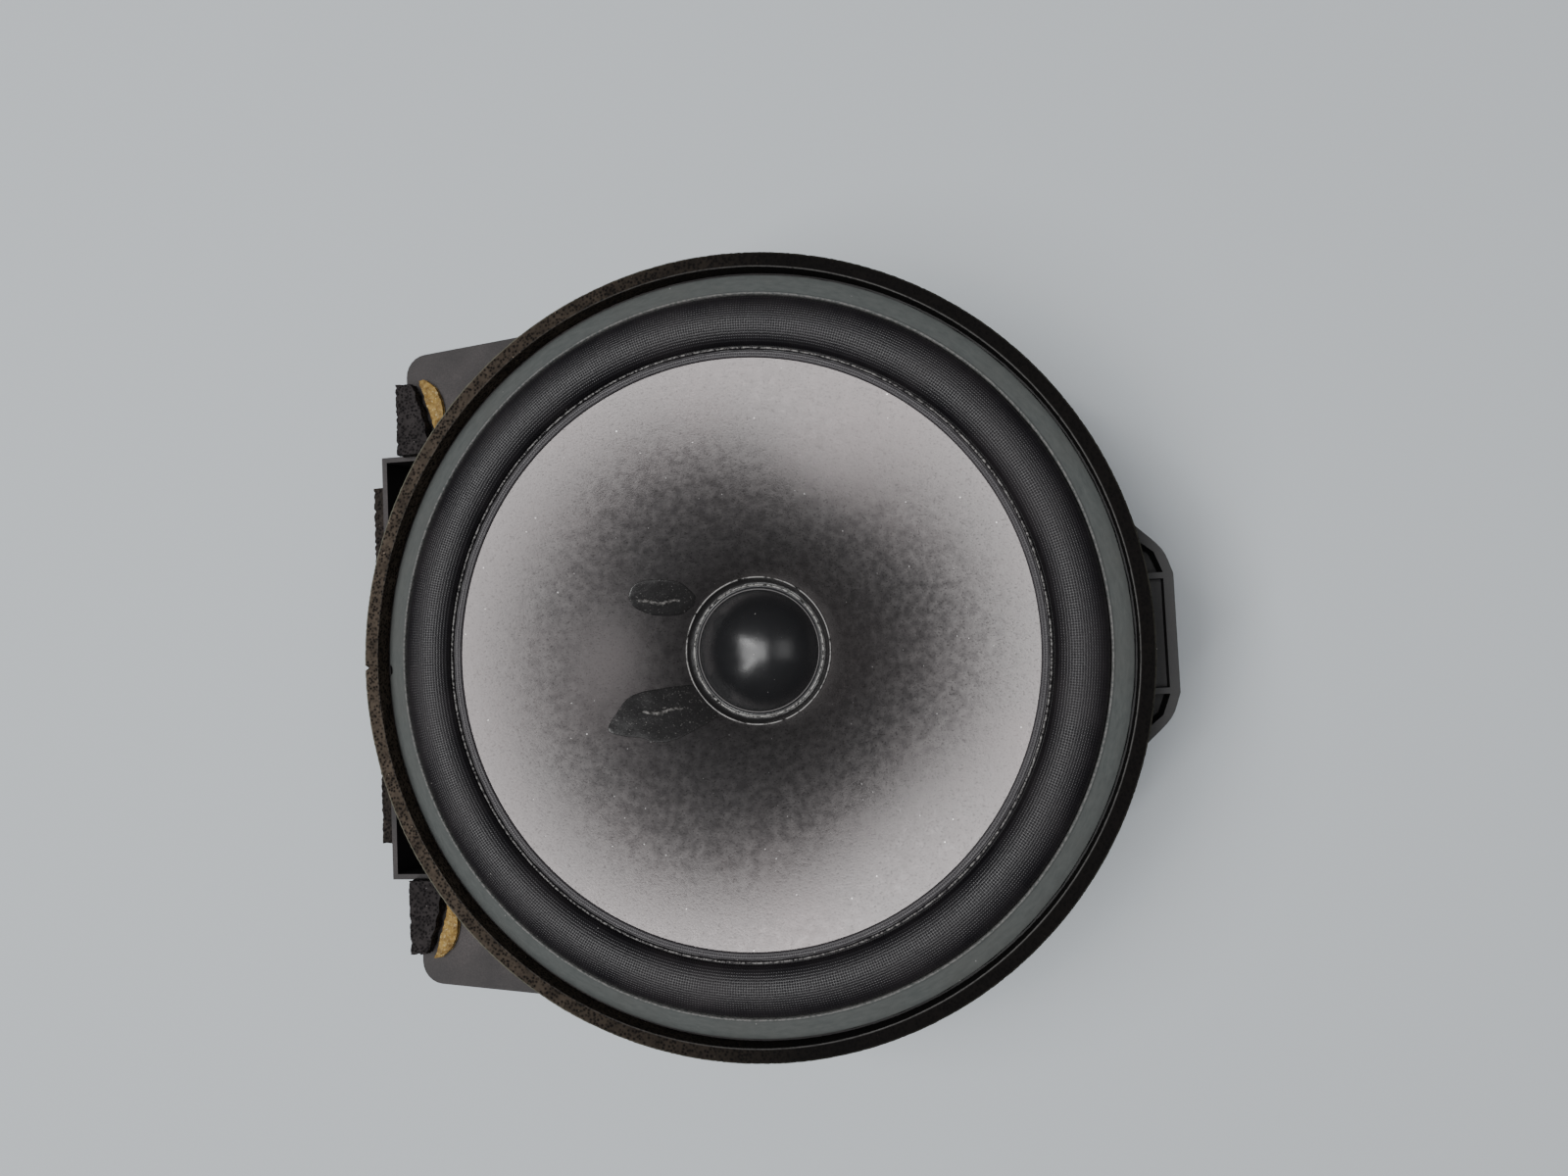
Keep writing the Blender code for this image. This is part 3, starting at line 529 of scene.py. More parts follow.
spider_low, spider_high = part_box("spider")
spider_in = 13.05 * MM
spider_flat = 31.1 * MM
spider_waves = 7
wave_in, wave_out = 16.5 * MM, 36.2 * MM
spider_top = [(spider_in, spider_flat + 0.25 * MM), (15.4 * MM, spider_flat + 0.25 * MM)]
for step in range(spider_waves * 14 + 1):
    t = step / (spider_waves * 14)
    lift = math.sin(t * spider_waves * math.tau) * (0.98 - 0.1 * t) * MM
    spider_top.append((wave_in + (wave_out - wave_in) * t, spider_flat + lift))
spider_top += [
    (37.3 * MM, spider_low[2] + 1.35 * MM), (spider_high[0] - 0.2 * MM, spider_low[2] + 1.35 * MM),
]
cloth_t = 0.35 * MM
spider_profile = spider_top + [(r, z - cloth_t) for r, z in reversed(spider_top)]
spider = solid("spider_pressed", spun(spider_profile, 192), 70.0)
weave = finish("resin_set_cloth", (0.44, 0.27, 0.10), 0.8)
weave_place = place(weave)
warp = node(weave, "ShaderNodeTexWave", bands_direction="X")
weft = node(weave, "ShaderNodeTexWave", bands_direction="Y")
for threads in (warp, weft):
    put(weave, weave_place, threads.inputs["Vector"])
    threads.inputs["Scale"].default_value = 330.0
    threads.inputs["Distortion"].default_value = 0.6
crossing = sums(weave, "MULTIPLY", warp.outputs["Fac"], weft.outputs["Fac"])
soak = cloud(weave, weave_place, 110.0)
threads_colour = blended(weave, crossing, (0.24, 0.135, 0.045), (0.50, 0.31, 0.12))
colour_of(
    weave, blended(weave, between(weave, soak, 0.4, 0.8, 0.0, 0.6), threads_colour, (0.30, 0.16, 0.05)),
)
relief(weave, crossing, 0.12 * MM, 0.7)
dress(spider, weave)
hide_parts("spider")
bends_by_radius(spider, 37.0 * MM, 15.0 * MM)


# Cone: mica-filled plastic film, vacuum formed to a curve that steepens to the neck.
# It has a mottled satin face and a dusting of flecks.

def cone_face(radius):
    """Height of the cone's front face: it rises with the logarithm of the radius."""
    rate = (cone_edge_z - neck_z) / math.log(cone_r / neck_r)
    return neck_z + rate * math.log(radius / neck_r)


cone_r = 64.3 * MM
cone_edge_z = 59.4 * MM
neck_r = 13.3 * MM
neck_z = 35.1 * MM
cone_t = 0.5 * MM
cone_rim = cone_r - 0.15 * MM
cone_rings = 70
cone_front = [neck_r * (cone_rim / neck_r) ** (i / cone_rings) for i in range(cone_rings + 1)]
cone_profile = [(r, cone_face(r)) for r in cone_front]
cone_profile += [(r, cone_face(r) - cone_t * math.hypot(1.0, 15.4 * MM / r)) for r in reversed(cone_front)]
cone_work = spun(cone_profile, 288)
cone = solid("cone_formed", cone_work)
film = finish("mica_filled_film", (0.125, 0.118, 0.117), 0.32, 0.85)
film_place = place(film)
mottle = cloud(film, film_place, 520.0, 4.0, 0.65)
blush = cloud(film, film_place, 28.0, 3.0, 0.5)
pits = cloud(film, stretched(film, film_place, (1.0, 1.35, 1.0)), 1900.0, 2.0, 0.6)
film_colour = blended(film, between(film, mottle, 0.38, 0.66), (0.112, 0.105, 0.105), (0.150, 0.141, 0.140))
film_colour = blended(film, between(film, pits, 0.34, 0.42, 0.55, 0.0), film_colour, (0.038, 0.035, 0.035))
film_colour = blended(film, between(film, blush, 0.35, 0.7, 0.0, 0.35), film_colour, (0.150, 0.128, 0.128))
dust = sums(
    film, "MAXIMUM", flecks(film, film_place, 420.0, 0.13 * MM, 0.3),
    flecks(film, film_place, 190.0, 0.17 * MM, 0.22),
)
colour_of(film, blended(film, dust, film_colour, (0.55, 0.54, 0.53)))
roughness_of(film, between(film, mottle, 0.3, 0.7, 0.28, 0.40))
relief(film, pits, 0.03 * MM, 0.5)
relief(film, mottle, 0.04 * MM, 0.3)
dress(cone, film)
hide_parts("cone")
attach(cone, "cone_body")


# Glue where the former, the spider and the cone's neck meet, behind the cone.

collar_low, collar_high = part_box("neck_glue")
collar = solid("neck_fillet", spun(eased([
    (former_high[0] + 0.05 * MM, collar_high[2]), (neck_r + 0.4 * MM, collar_high[2]),
    (collar_high[0], collar_low[2]), (former_high[0] + 0.05 * MM, collar_low[2]),
], 0.5 * MM)))
set_glue = finish("set_black_glue", (0.021, 0.020, 0.020), 0.3)
glue_place = place(set_glue)
glue_skin = cloud(set_glue, glue_place, 380.0, 4.0, 0.6)
glue_dust = sums(
    set_glue, "MAXIMUM", flecks(set_glue, glue_place, 520.0, 0.12 * MM, 0.35),
    between(set_glue, cloud(set_glue, glue_place, 2300.0, 2.0), 0.62, 0.72, 0.0, 0.5),
)
colour_of(set_glue, blended(set_glue, glue_dust, (0.021, 0.020, 0.020), (0.24, 0.23, 0.22)))
roughness_of(set_glue, between(set_glue, glue_skin, 0.3, 0.7, 0.2, 0.42))
relief(set_glue, glue_skin, 0.25 * MM, 0.7)
dress(collar, set_glue)
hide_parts("neck_glue")
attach(collar, "cone_body")


# Dust cap: a pressed dome of gloss-lacquered film on a flat foot. Its crisp foot and
# its cut edge are given painted highlights: two thin pale rings put in the colour.

cap_low, cap_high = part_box("dust_cap")
cap_base = cap_high[2] - 5.7 * MM
dome_r = 13.8 * MM
dome_h = cap_high[2] - cap_base
ball_r = (dome_r ** 2 + dome_h ** 2) / (2 * dome_h)
cap_t = 0.35 * MM
cap_profile = [(0.0, cap_high[2])]
for step in range(1, 41):
    r = dome_r * step / 40
    cap_profile.append((r, cap_high[2] - ball_r + math.sqrt(ball_r ** 2 - r ** 2)))
cap_profile += [
    (dome_r + 0.05 * MM, cap_base - 0.20 * MM), (dome_r + 0.18 * MM, cap_base - 0.32 * MM),
    (dome_r + 0.34 * MM, cap_base - 0.20 * MM), (dome_r + 0.5 * MM, cap_base - 0.34 * MM),
    (dome_r + 0.9 * MM, cap_base - 0.36 * MM), (dome_r + 1.1 * MM, cap_base - 0.02 * MM),
    (dome_r + 1.26 * MM, cap_base + 0.06 * MM), (cap_high[0], cap_base - 0.04 * MM),
    (cap_high[0], cap_low[2] + 0.2 * MM), (dome_r + 0.7 * MM, cap_low[2] + 0.1 * MM),
]
for step in range(40, -1, -1):
    r = dome_r * step / 40
    cap_profile.append((r * 0.985, cap_high[2] - ball_r + math.sqrt(ball_r ** 2 - r ** 2) - cap_t))
cap = solid("dust_cap_pressed", spun(cap_profile, 192, closed=False), 50.0)
def polar(of):
    """Each place as (length round the axis, radius, height), then its radius, z and x."""
    parts = node(of, "ShaderNodeSeparateXYZ")
    put(of, place(of), parts.inputs[0])
    angle = sums(of, "ARCTAN2", parts.outputs["Y"], parts.outputs["X"])
    square = sums(of, "MULTIPLY", parts.outputs["X"], parts.outputs["X"])
    other = sums(of, "MULTIPLY", parts.outputs["Y"], parts.outputs["Y"])
    radius = sums(of, "POWER", sums(of, "ADD", square, other), 0.5)
    joined = node(of, "ShaderNodeCombineXYZ")
    put(of, sums(of, "MULTIPLY", angle, cone_r), joined.inputs[0])
    put(of, radius, joined.inputs[1])
    put(of, parts.outputs["Z"], joined.inputs[2])
    return joined.outputs[0], radius, parts.outputs["Z"], parts.outputs["X"]


lacquer = finish("black_lacquer", (0.011, 0.011, 0.012), 0.2)
lacquer_place = place(lacquer)
haze = cloud(lacquer, lacquer_place, 160.0, 5.0, 0.6)
lacquer_dust = sums(
    lacquer, "MAXIMUM", flecks(lacquer, lacquer_place, 480.0, 0.11 * MM, 0.22),
    flecks(lacquer, lacquer_place, 230.0, 0.16 * MM, 0.25),
)
cap_radius = polar(lacquer)[1]
cap_highlight_breakup = cloud(lacquer, lacquer_place, 1300.0, 3.0, 0.7)


def band(of, radius, middle, half):
    """A soft band of the given half width about a radius."""
    inside = between(of, radius, middle - half, middle - half / 2)
    return sums(of, "MULTIPLY", inside, between(of, radius, middle + half, middle + half / 2))


cap_colour = blended(lacquer, lacquer_dust, (0.011, 0.011, 0.012), (0.26, 0.25, 0.24))
# Painted highlight: a thin pale ring on the cap's foot.
cap_colour = blended(
    lacquer, band(lacquer, cap_radius, dome_r + 0.22 * MM, 0.13 * MM), cap_colour, (0.20, 0.19, 0.19),
)
# Painted highlight: a broken pale ring on the cap's cut edge.
cap_edge_highlight = sums(
    lacquer, "MULTIPLY", band(lacquer, cap_radius, dome_r + 1.2 * MM, 0.24 * MM),
    between(lacquer, cap_highlight_breakup, 0.38, 0.55),
)
colour_of(lacquer, blended(lacquer, cap_edge_highlight, cap_colour, (0.46, 0.45, 0.43)))
roughness_of(lacquer, between(lacquer, haze, 0.3, 0.75, 0.19, 0.33))
relief(lacquer, cloud(lacquer, lacquer_place, 900.0, 3.0), 0.03 * MM, 0.4)
dress(cap, lacquer)
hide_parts("dust_cap")
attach(cap, "cone_body")


# Bead of glue round the cap: black, set hard, and it holds the cap's foot to the cone.
# It ends outside in a thin raised lip, along which a broken painted highlight runs.

bead_lip = 16.75 * MM
bead_in = cap_high[0] + 0.1 * MM
bead_profile = [
    (bead_in, cone_face(bead_in) + 0.02 * MM), (bead_in, cone_face(bead_in) + 0.85 * MM),
    (bead_in + 0.35 * MM, cone_face(bead_in + 0.35 * MM) + 0.55 * MM),
    (bead_lip - 0.45 * MM, cone_face(bead_lip) + 0.02 * MM),
    (bead_lip - 0.15 * MM, cone_face(bead_lip) + 0.30 * MM),
    (bead_lip, cone_face(bead_lip) + 0.44 * MM), (bead_lip + 0.16 * MM, cone_face(bead_lip) + 0.36 * MM),
    (bead_lip + 0.25 * MM, cone_face(bead_lip + 0.25 * MM) + 0.02 * MM),
]
bead_work = spun(bead_profile, 288)
for vert in bead_work.verts:
    vert.co.z += 0.07 * MM * noise.noise(vert.co * 600.0)
bead = solid("cap_bead", bead_work, 60.0)
bead_skin = finish("bead_of_glue", (0.013, 0.012, 0.012), 0.26)
bead_radius = polar(bead_skin)[1]
bead_grain_and_glint = cloud(bead_skin, place(bead_skin), 420.0, 4.0, 0.65)
# Painted highlight: a broken pale line along the lip; the same noise also gives the bead's lumpy bump.
lip_highlight = sums(
    bead_skin, "MULTIPLY", band(bead_skin, bead_radius, bead_lip, 0.17 * MM),
    between(bead_skin, bead_grain_and_glint, 0.36, 0.5),
)
colour_of(bead_skin, blended(bead_skin, lip_highlight, (0.013, 0.012, 0.012), (0.42, 0.41, 0.40)))
relief(bead_skin, bead_grain_and_glint, 0.15 * MM, 0.7)
dress(bead, bead_skin)
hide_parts("cap_glue")
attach(bead, "cone_body")


# Each lead wire comes through the cone, lies on its face towards the coil, and is
# fixed there by a brushed-on dab of glue that the wire shows through as a ridge.

def dab_of_glue(side, middle, half_x, half_y, tilt, seed):
    """A lens of glue on the cone's face, its outline ragged and its skin lumpy."""
    work = bmesh.new()
    bmesh.ops.create_uvsphere(work, u_segments=96, v_segments=40, radius=1.0)
    turn = Matrix.Rotation(math.radians(tilt), 2)
    for vert in work.verts:
        ray = Vector((vert.co.x, vert.co.y))
        ragged = 1.0 + 0.16 * noise.noise((ray.normalized() * 1.6).to_3d() + Vector((seed, 0, 0)))
        spot = turn @ Vector((ray.x * half_x * ragged, ray.y * half_y * ragged)) + Vector(middle)
        if spot.length < bead_lip - 0.6 * MM:
            spot.length = bead_lip - 0.6 * MM
        lump = noise.noise(Vector((spot.x, spot.y, seed * MM)) * 420.0)
        lift = 0.03 * MM + max(vert.co.z, 0.0) ** 0.6 * (0.42 + 0.16 * lump) * MM
        vert.co = (spot.x, spot.y, cone_face(spot.length) + lift)
    dab = solid("lead_dab_" + side, work, 80.0)
    dress(dab, set_glue)
    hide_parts("lead_glue_" + side)
    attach(dab, "cone_body")


def tube(name, route, radius, sides=12):
    """A smooth tube along the route's points, its ends closed."""
    data = bpy.data.curves.new(name, "CURVE")
    data.dimensions = "3D"
    data.bevel_depth = radius
    data.bevel_resolution = sides // 2 - 2
    data.use_fill_caps = True
    data.resolution_u = 6
    spline = data.splines.new("NURBS")
    spline.points.add(len(route) - 1)
    for point, at in zip(spline.points, route):
        point.co = (*at, 1.0)
    spline.use_endpoint_u = True
    spline.order_u = 4
    shape = bpy.data.objects.new(name + "_curve", data)
    bpy.context.scene.collection.objects.link(shape)
    bpy.context.view_layer.update()
    mesh = bpy.data.meshes.new_from_object(shape.evaluated_get(bpy.context.evaluated_depsgraph_get()))
    bpy.data.objects.remove(shape, do_unlink=True)
    work = bmesh.new()
    work.from_mesh(mesh)
    bmesh.ops.remove_doubles(work, verts=work.verts, dist=0.001 * MM)
    bmesh.ops.recalc_face_normals(work, faces=work.faces)
    return solid(name, work, 60.0)


dab_of_glue("upper", (-20.6 * MM, 12.9 * MM), 7.2 * MM, 4.2 * MM, -6.0, 3.0)
dab_of_glue("lower", (-20.6 * MM, -12.9 * MM), 11.2 * MM, 6.0 * MM, 8.0, 11.0)
wire_skin = finish("glued_tinsel", (0.11, 0.105, 0.10), 0.55)
wire_place = place(wire_skin)
wire_grain = cloud(wire_skin, wire_place, 1500.0, 3.0, 0.7)
colour_of(
    wire_skin,
    blended(wire_skin, between(wire_skin, wire_grain, 0.42, 0.62), (0.03, 0.028, 0.027), (0.23, 0.22, 0.21)),
)
relief(wire_skin, wire_grain, 0.12 * MM, 0.8)
for side, name, wire_y in ((1, "upper", 12.1), (-1, "lower", 12.9)):
    wire_route = []
    for step in range(13):
        t = step / 12
        x = (-25.3 + 8.2 * t) * MM
        y = side * (wire_y + 0.35 * math.sin(t * 7.0 + side) - 0.25 * t) * MM
        sunk = 0.34 * MM * (1.0 - (2.0 * t - 1.0) ** 4)
        wire_route.append((x, y, cone_face(math.hypot(x, y)) - 0.02 * MM + sunk))
    wire_end = tube("lead_end_" + name, wire_route, 0.42 * MM)
    for vert in wire_end.data.vertices:
        vert.co += 0.09 * MM * noise.noise_vector(vert.co * 900.0)
    dress(wire_end, wire_skin)
    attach(wire_end, "cone_body")


# Surround: a half roll pressed from rubber-coated cloth. Its inner lip is glued on
# the cone's edge, its outer lip is held under the clamp ring, and the roll flexes.

surround_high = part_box("surround")[1]
roll_mid = 70.35 * MM
roll_half = 5.4 * MM
roll_base = 58.2 * MM
roll_crest = surround_high[2] - 0.05 * MM
rubber_t = 0.55 * MM


def over_cone(radius, lift):
    return (radius * MM, cone_face(radius * MM) + lift * MM)


surround_profile = [
    over_cone(62.32, 0.03), over_cone(62.36, 0.24), over_cone(62.5, 0.33), over_cone(62.9, 0.38),
    over_cone(63.4, 0.37), over_cone(63.66, 0.27), over_cone(63.78, 0.12), over_cone(63.95, 0.12),
    over_cone(64.04, 0.34), (64.14 * MM, 59.94 * MM), (64.28 * MM, 60.04 * MM), (64.42 * MM, 59.96 * MM),
    (64.52 * MM, 59.6 * MM), (64.6 * MM, 59.1 * MM), (64.76 * MM, 58.6 * MM),
]
for step in range(1, 32):
    angle = math.pi * (1.0 - step / 32)
    surround_profile.append(
        (roll_mid + roll_half * math.cos(angle), roll_base + (roll_crest - roll_base) * math.sin(angle)),
    )
surround_profile += [
    (75.76 * MM, 58.1 * MM), (75.8 * MM, 57.4 * MM), (75.95 * MM, 57.2 * MM),
    (80.2 * MM, 57.2 * MM), (80.2 * MM, 56.6 * MM), (75.3 * MM, 56.6 * MM), (75.22 * MM, 57.8 * MM),
]
for step in range(1, 32):
    angle = math.pi * step / 32
    inner_half = roll_half - rubber_t
    inner_h = roll_crest - rubber_t - roll_base
    surround_profile.append((roll_mid + inner_half * math.cos(angle), roll_base + inner_h * math.sin(angle)))
surround_profile += [
    (65.2 * MM, 57.9 * MM), (64.6 * MM, 57.75 * MM), (64.22 * MM, 58.0 * MM), (64.22 * MM, 59.42 * MM),
    over_cone(64.1, 0.03),
]
surround_work = spun(surround_profile, 360)
for vert in surround_work.verts:
    if vert.co.z > 59.3 * MM and math.hypot(vert.co.x, vert.co.y) < 64.5 * MM:
        vert.co.z += 0.09 * MM * noise.noise(vert.co * 900.0)
surround = solid("rubber_surround", surround_work, 55.0)
rubber = finish("cloth_backed_rubber", (0.018, 0.017, 0.020), 0.45, 0.0, 0.45)
rubber_polar, rubber_radius = polar(rubber)[:2]
cord = node(rubber, "ShaderNodeTexWave", bands_direction="X")
rings_of_thread = node(rubber, "ShaderNodeTexWave", bands_direction="Y")
for threads in (cord, rings_of_thread):
    put(rubber, rubber_polar, threads.inputs["Vector"])
    threads.inputs["Scale"].default_value = 620.0
    threads.inputs["Distortion"].default_value = 1.2
    threads.inputs["Detail Scale"].default_value = 2.0
cloth_print = sums(rubber, "MULTIPLY", cord.outputs["Fac"], rings_of_thread.outputs["Fac"])
rubber_place = place(rubber)
bloomed = cloud(rubber, rubber_place, 60.0, 6.0, 0.6)
crumbs_and_glint = cloud(rubber, rubber_place, 1500.0, 2.0, 0.7)
on_lip = between(rubber, rubber_radius, 64.0 * MM, 63.6 * MM)
# Painted highlight: broken pale grains along the ridge where the roll rises from the lip; the same noise is
# also a fine bump.
ridge_highlight_band = sums(
    rubber, "MULTIPLY", between(rubber, rubber_radius, 64.05 * MM, 64.15 * MM),
    between(rubber, rubber_radius, 64.6 * MM, 64.45 * MM),
)
rubber_colour = blended(
    rubber, between(rubber, bloomed, 0.4, 0.7), (0.010, 0.009, 0.011), (0.021, 0.018, 0.020),
)
rubber_colour = blended(rubber, on_lip, rubber_colour, (0.048, 0.044, 0.048))
rubber_colour = blended(
    rubber, sums(rubber, "MULTIPLY", ridge_highlight_band, between(rubber, crumbs_and_glint, 0.42, 0.6)), rubber_colour,
    (0.33, 0.32, 0.31),
)
rubber_dust = sums(
    rubber, "MAXIMUM", flecks(rubber, rubber_place, 300.0, 0.13 * MM, 0.22),
    flecks(rubber, rubber_place, 90.0, 0.22 * MM, 0.12),
)
colour_of(rubber, blended(rubber, rubber_dust, rubber_colour, (0.30, 0.29, 0.28)))
roughness_of(rubber, between(rubber, bloomed, 0.3, 0.75, 0.34, 0.48))
relief(rubber, cloth_print, 0.10 * MM, 0.9)
relief(rubber, crumbs_and_glint, 0.03 * MM, 0.5)
dress(surround, rubber)
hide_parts("surround")
bends_by_radius(surround, 75.6 * MM, 64.7 * MM)


# Clamp ring: stamped from grey-green card and glued down over the surround's outer lip.
# Its inner edge is beaded and carries a broken painted highlight, and its outer edge has one nick.

clamp_low, clamp_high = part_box("clamp_ring")
clamp_in = 75.95 * MM
clamp_top = clamp_high[2] - 0.02 * MM
clamp_fall = clamp_top - 1.33 * MM
clamp_profile = [
    (clamp_in, clamp_low[2] + 0.02 * MM), (clamp_in, clamp_top - 0.18 * MM),
    (clamp_in + 0.12 * MM, clamp_top - 0.04 * MM),
    (clamp_in + 0.3 * MM, clamp_top), (clamp_in + 0.46 * MM, clamp_top - 0.08 * MM),
    (clamp_in + 0.58 * MM, clamp_top - 0.30 * MM),
    (clamp_in + 0.75 * MM, clamp_top - 0.36 * MM), (clamp_high[0] - 1.2 * MM, clamp_fall + 0.26 * MM),
    (clamp_high[0] - 0.25 * MM, clamp_fall), (clamp_high[0] - 0.05 * MM, clamp_fall - 0.1 * MM),
    (clamp_high[0], clamp_fall - 0.25 * MM), (clamp_high[0], clamp_low[2]),
]
clamp_work = spun(clamp_profile, 720)
nick = math.radians(180.6)
for vert in clamp_work.verts:
    radius = math.hypot(vert.co.x, vert.co.y)
    turned_by = math.atan2(vert.co.y, vert.co.x) % math.tau
    if radius > clamp_high[0] - 1.3 * MM:
        bite = max(0.0, 1.0 - (abs(turned_by - nick) / math.radians(0.95)) ** 2)
        ripple = 0.05 * MM * noise.noise(vert.co * 260.0)
        taken = bite * 0.8 * MM * (radius - clamp_high[0] + 1.3 * MM) / (1.3 * MM)
        scale = (radius - taken + ripple) / radius
        vert.co.x *= scale
        vert.co.y *= scale
clamp = solid("clamp_ring_stamped", clamp_work, 50.0)
card = finish("grey_green_card", (0.125, 0.135, 0.13), 0.85, 0.0, 0.3)
card_place = place(card)
card_polar, card_radius = polar(card)[:2]
fibres = cloud(card, stretched(card, card_polar, (0.4, 1.0, 1.0)), 1300.0, 4.0, 0.65)
soiled = cloud(card, card_place, 45.0, 6.0, 0.62)
card_colour = blended(card, between(card, fibres, 0.3, 0.7), (0.080, 0.088, 0.086), (0.108, 0.116, 0.112))
card_colour = blended(card, between(card, soiled, 0.45, 0.75, 0.0, 0.55), card_colour, (0.098, 0.098, 0.092))
card_grit_and_glint = cloud(card, card_place, 1500.0, 2.0, 0.7)
# Painted highlight: a broken pale line along the beaded inner edge; the same noise is also a fine bump.
card_edge_highlight = sums(
    card, "MULTIPLY", between(card, card_radius, 76.45 * MM, 76.15 * MM),
    between(card, card_grit_and_glint, 0.40, 0.58),
)
card_colour = blended(card, card_edge_highlight, card_colour, (0.20, 0.195, 0.19))
colour_of(
    card, blended(card, flecks(card, card_place, 330.0, 0.14 * MM, 0.25), card_colour, (0.27, 0.27, 0.26)),
)
relief(card, fibres, 0.03 * MM, 0.6)
relief(card, card_grit_and_glint, 0.03 * MM, 0.3)
dress(clamp, card)
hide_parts("clamp_ring")
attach(clamp, "frame")


# Front seal: a strip of open-cell foam bent to a ring and stuck on the flange, its
# ends butted on the bracket's side. There it is brown with dust; elsewhere it is black. Painted highlights,
# thin pale lines in the colour, run along its two top edges.

def foam_skin(vert, depth, cell):
    """How far a foam surface sinks at a point: cut cells leave round pores."""
    near = noise.voronoi(vert.co / cell)[0]
    pore = max(0.0, 0.55 - near[0]) / 0.55
    return -depth * (pore + 0.5 * noise.noise(vert.co * (0.9 / cell)))


seal_low, seal_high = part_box("front_seal")
seal_in = 80.9 * MM
seal_round = []
for step in range(11):
    t = step / 10
    seal_round.append((seal_in + (seal_high[0] - seal_in) * t, seal_high[2] - 0.1 * MM * (2 * t - 1) ** 8))
seal_round += [(seal_high[0], seal_high[2] - d * MM) for d in (0.3, 0.8, 1.4, 2.0, 2.6, 3.2, 3.8, 4.4)]
seal_round += [(seal_high[0], seal_low[2]), (seal_in, seal_low[2])]
seal_round += [(seal_in, seal_high[2] - d * MM) for d in (4.2, 3.6, 3.0, 2.4, 1.8, 1.2, 0.7, 0.3)]
seal_work = spun(seal_round, 900)
seal_work.normal_update()
butt = math.pi
for vert in seal_work.verts:
    sink = foam_skin(vert, 0.10 * MM, 0.55 * MM)
    vert.co += vert.normal * (sink - 0.02 * MM)
    turned_by = math.atan2(vert.co.y, vert.co.x) % math.tau
    slit = max(0.0, 1.0 - abs(turned_by - butt) / math.radians(0.3))
    radius = math.hypot(vert.co.x, vert.co.y)
    if slit and radius > seal_high[0] - 0.5 * MM:
        vert.co.x *= 1.0 - slit * 0.6 * MM / radius
        vert.co.y *= 1.0 - slit * 0.6 * MM / radius
    if slit and vert.co.z > seal_high[2] - 0.5 * MM:
        vert.co.z -= slit * 0.5 * MM
    vert.co.z = min(vert.co.z, seal_high[2] - 0.01 * MM)
seal = solid("front_seal_foam", seal_work, 75.0)


def foam(name, dark, dusty, dust_from=None, dust_to=None):
    """Open-cell foam: dark pores between dusty ribs, with a few pale specks of grit."""
    made = finish(name, dark, 0.92, 0.0, 0.12)
    where = place(made)
    cells = node(made, "ShaderNodeTexVoronoi")
    put(made, where, cells.inputs["Vector"])
    cells.inputs["Scale"].default_value = 1500.0
    ribs = between(made, cells.outputs["Distance"], 0.15, 0.6)
    fluff = cloud(made, where, 240.0, 6.0, 0.65)
    grit = flecks(made, where, 620.0, 0.13 * MM, 0.3)
    dust_share = between(made, fluff, 0.3, 0.68, 0.35, 1.0)
    if dust_from is not None:
        split = node(made, "ShaderNodeSeparateXYZ")
        put(made, where, split.inputs[0])
        dust_share = sums(
            made, "MULTIPLY", dust_share, between(made, split.outputs["X"], dust_from, dust_to, 0.03, 1.0),
        )
    coat = blended(made, sums(made, "MULTIPLY", dust_share, ribs), dark, dusty)
    colour_of(
        made,
        blended(
            made, sums(made, "MULTIPLY", grit, dust_share), coat, tuple(min(c * 4.5, 0.6) for c in dusty),
        ),
    )
    relief(made, ribs, 0.16 * MM, 0.9)
    return made


seal_foam = foam("seal_foam", (0.005, 0.0045, 0.0045), (0.105, 0.082, 0.062), 10.0 * MM, -78.0 * MM)
seal_radius, seal_z, seal_x = polar(seal_foam)[1:]
seal_base = seal_foam.node_tree.nodes["Principled BSDF"].inputs["Base Color"].links[0].from_socket
# Painted highlights: pale lines along the top's outer and inner edges, each stronger on one side of the
# ring.
near_top = between(seal_foam, seal_z, seal_high[2] - 0.55 * MM, seal_high[2] - 0.15 * MM)
outer_edge_highlight = sums(seal_foam, "MULTIPLY", near_top, between(seal_foam, seal_radius, 83.62 * MM, 83.86 * MM))
inner_edge_highlight = sums(seal_foam, "MULTIPLY", near_top, between(seal_foam, seal_radius, 81.22 * MM, 81.0 * MM))
inner_edge_highlight = sums(
    seal_foam, "MULTIPLY", inner_edge_highlight, between(seal_foam, seal_x, -40.0 * MM, 30.0 * MM, 0.15, 0.7),
)
outer_edge_highlight = sums(seal_foam, "MULTIPLY", outer_edge_highlight, between(seal_foam, seal_x, 0.0, -60.0 * MM, 0.12, 0.6))
seal_painted_highlight_colour = blended(seal_foam, outer_edge_highlight, seal_base, (0.20, 0.20, 0.155))
colour_of(seal_foam, blended(seal_foam, inner_edge_highlight, seal_painted_highlight_colour, (0.16, 0.155, 0.15)))
dress(seal, seal_foam)
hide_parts("front_seal")
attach(seal, "frame")


# Foam pads: two scraps of coarse open-cell foam, cut and torn to shape, and stuck on
# the bracket's ears.

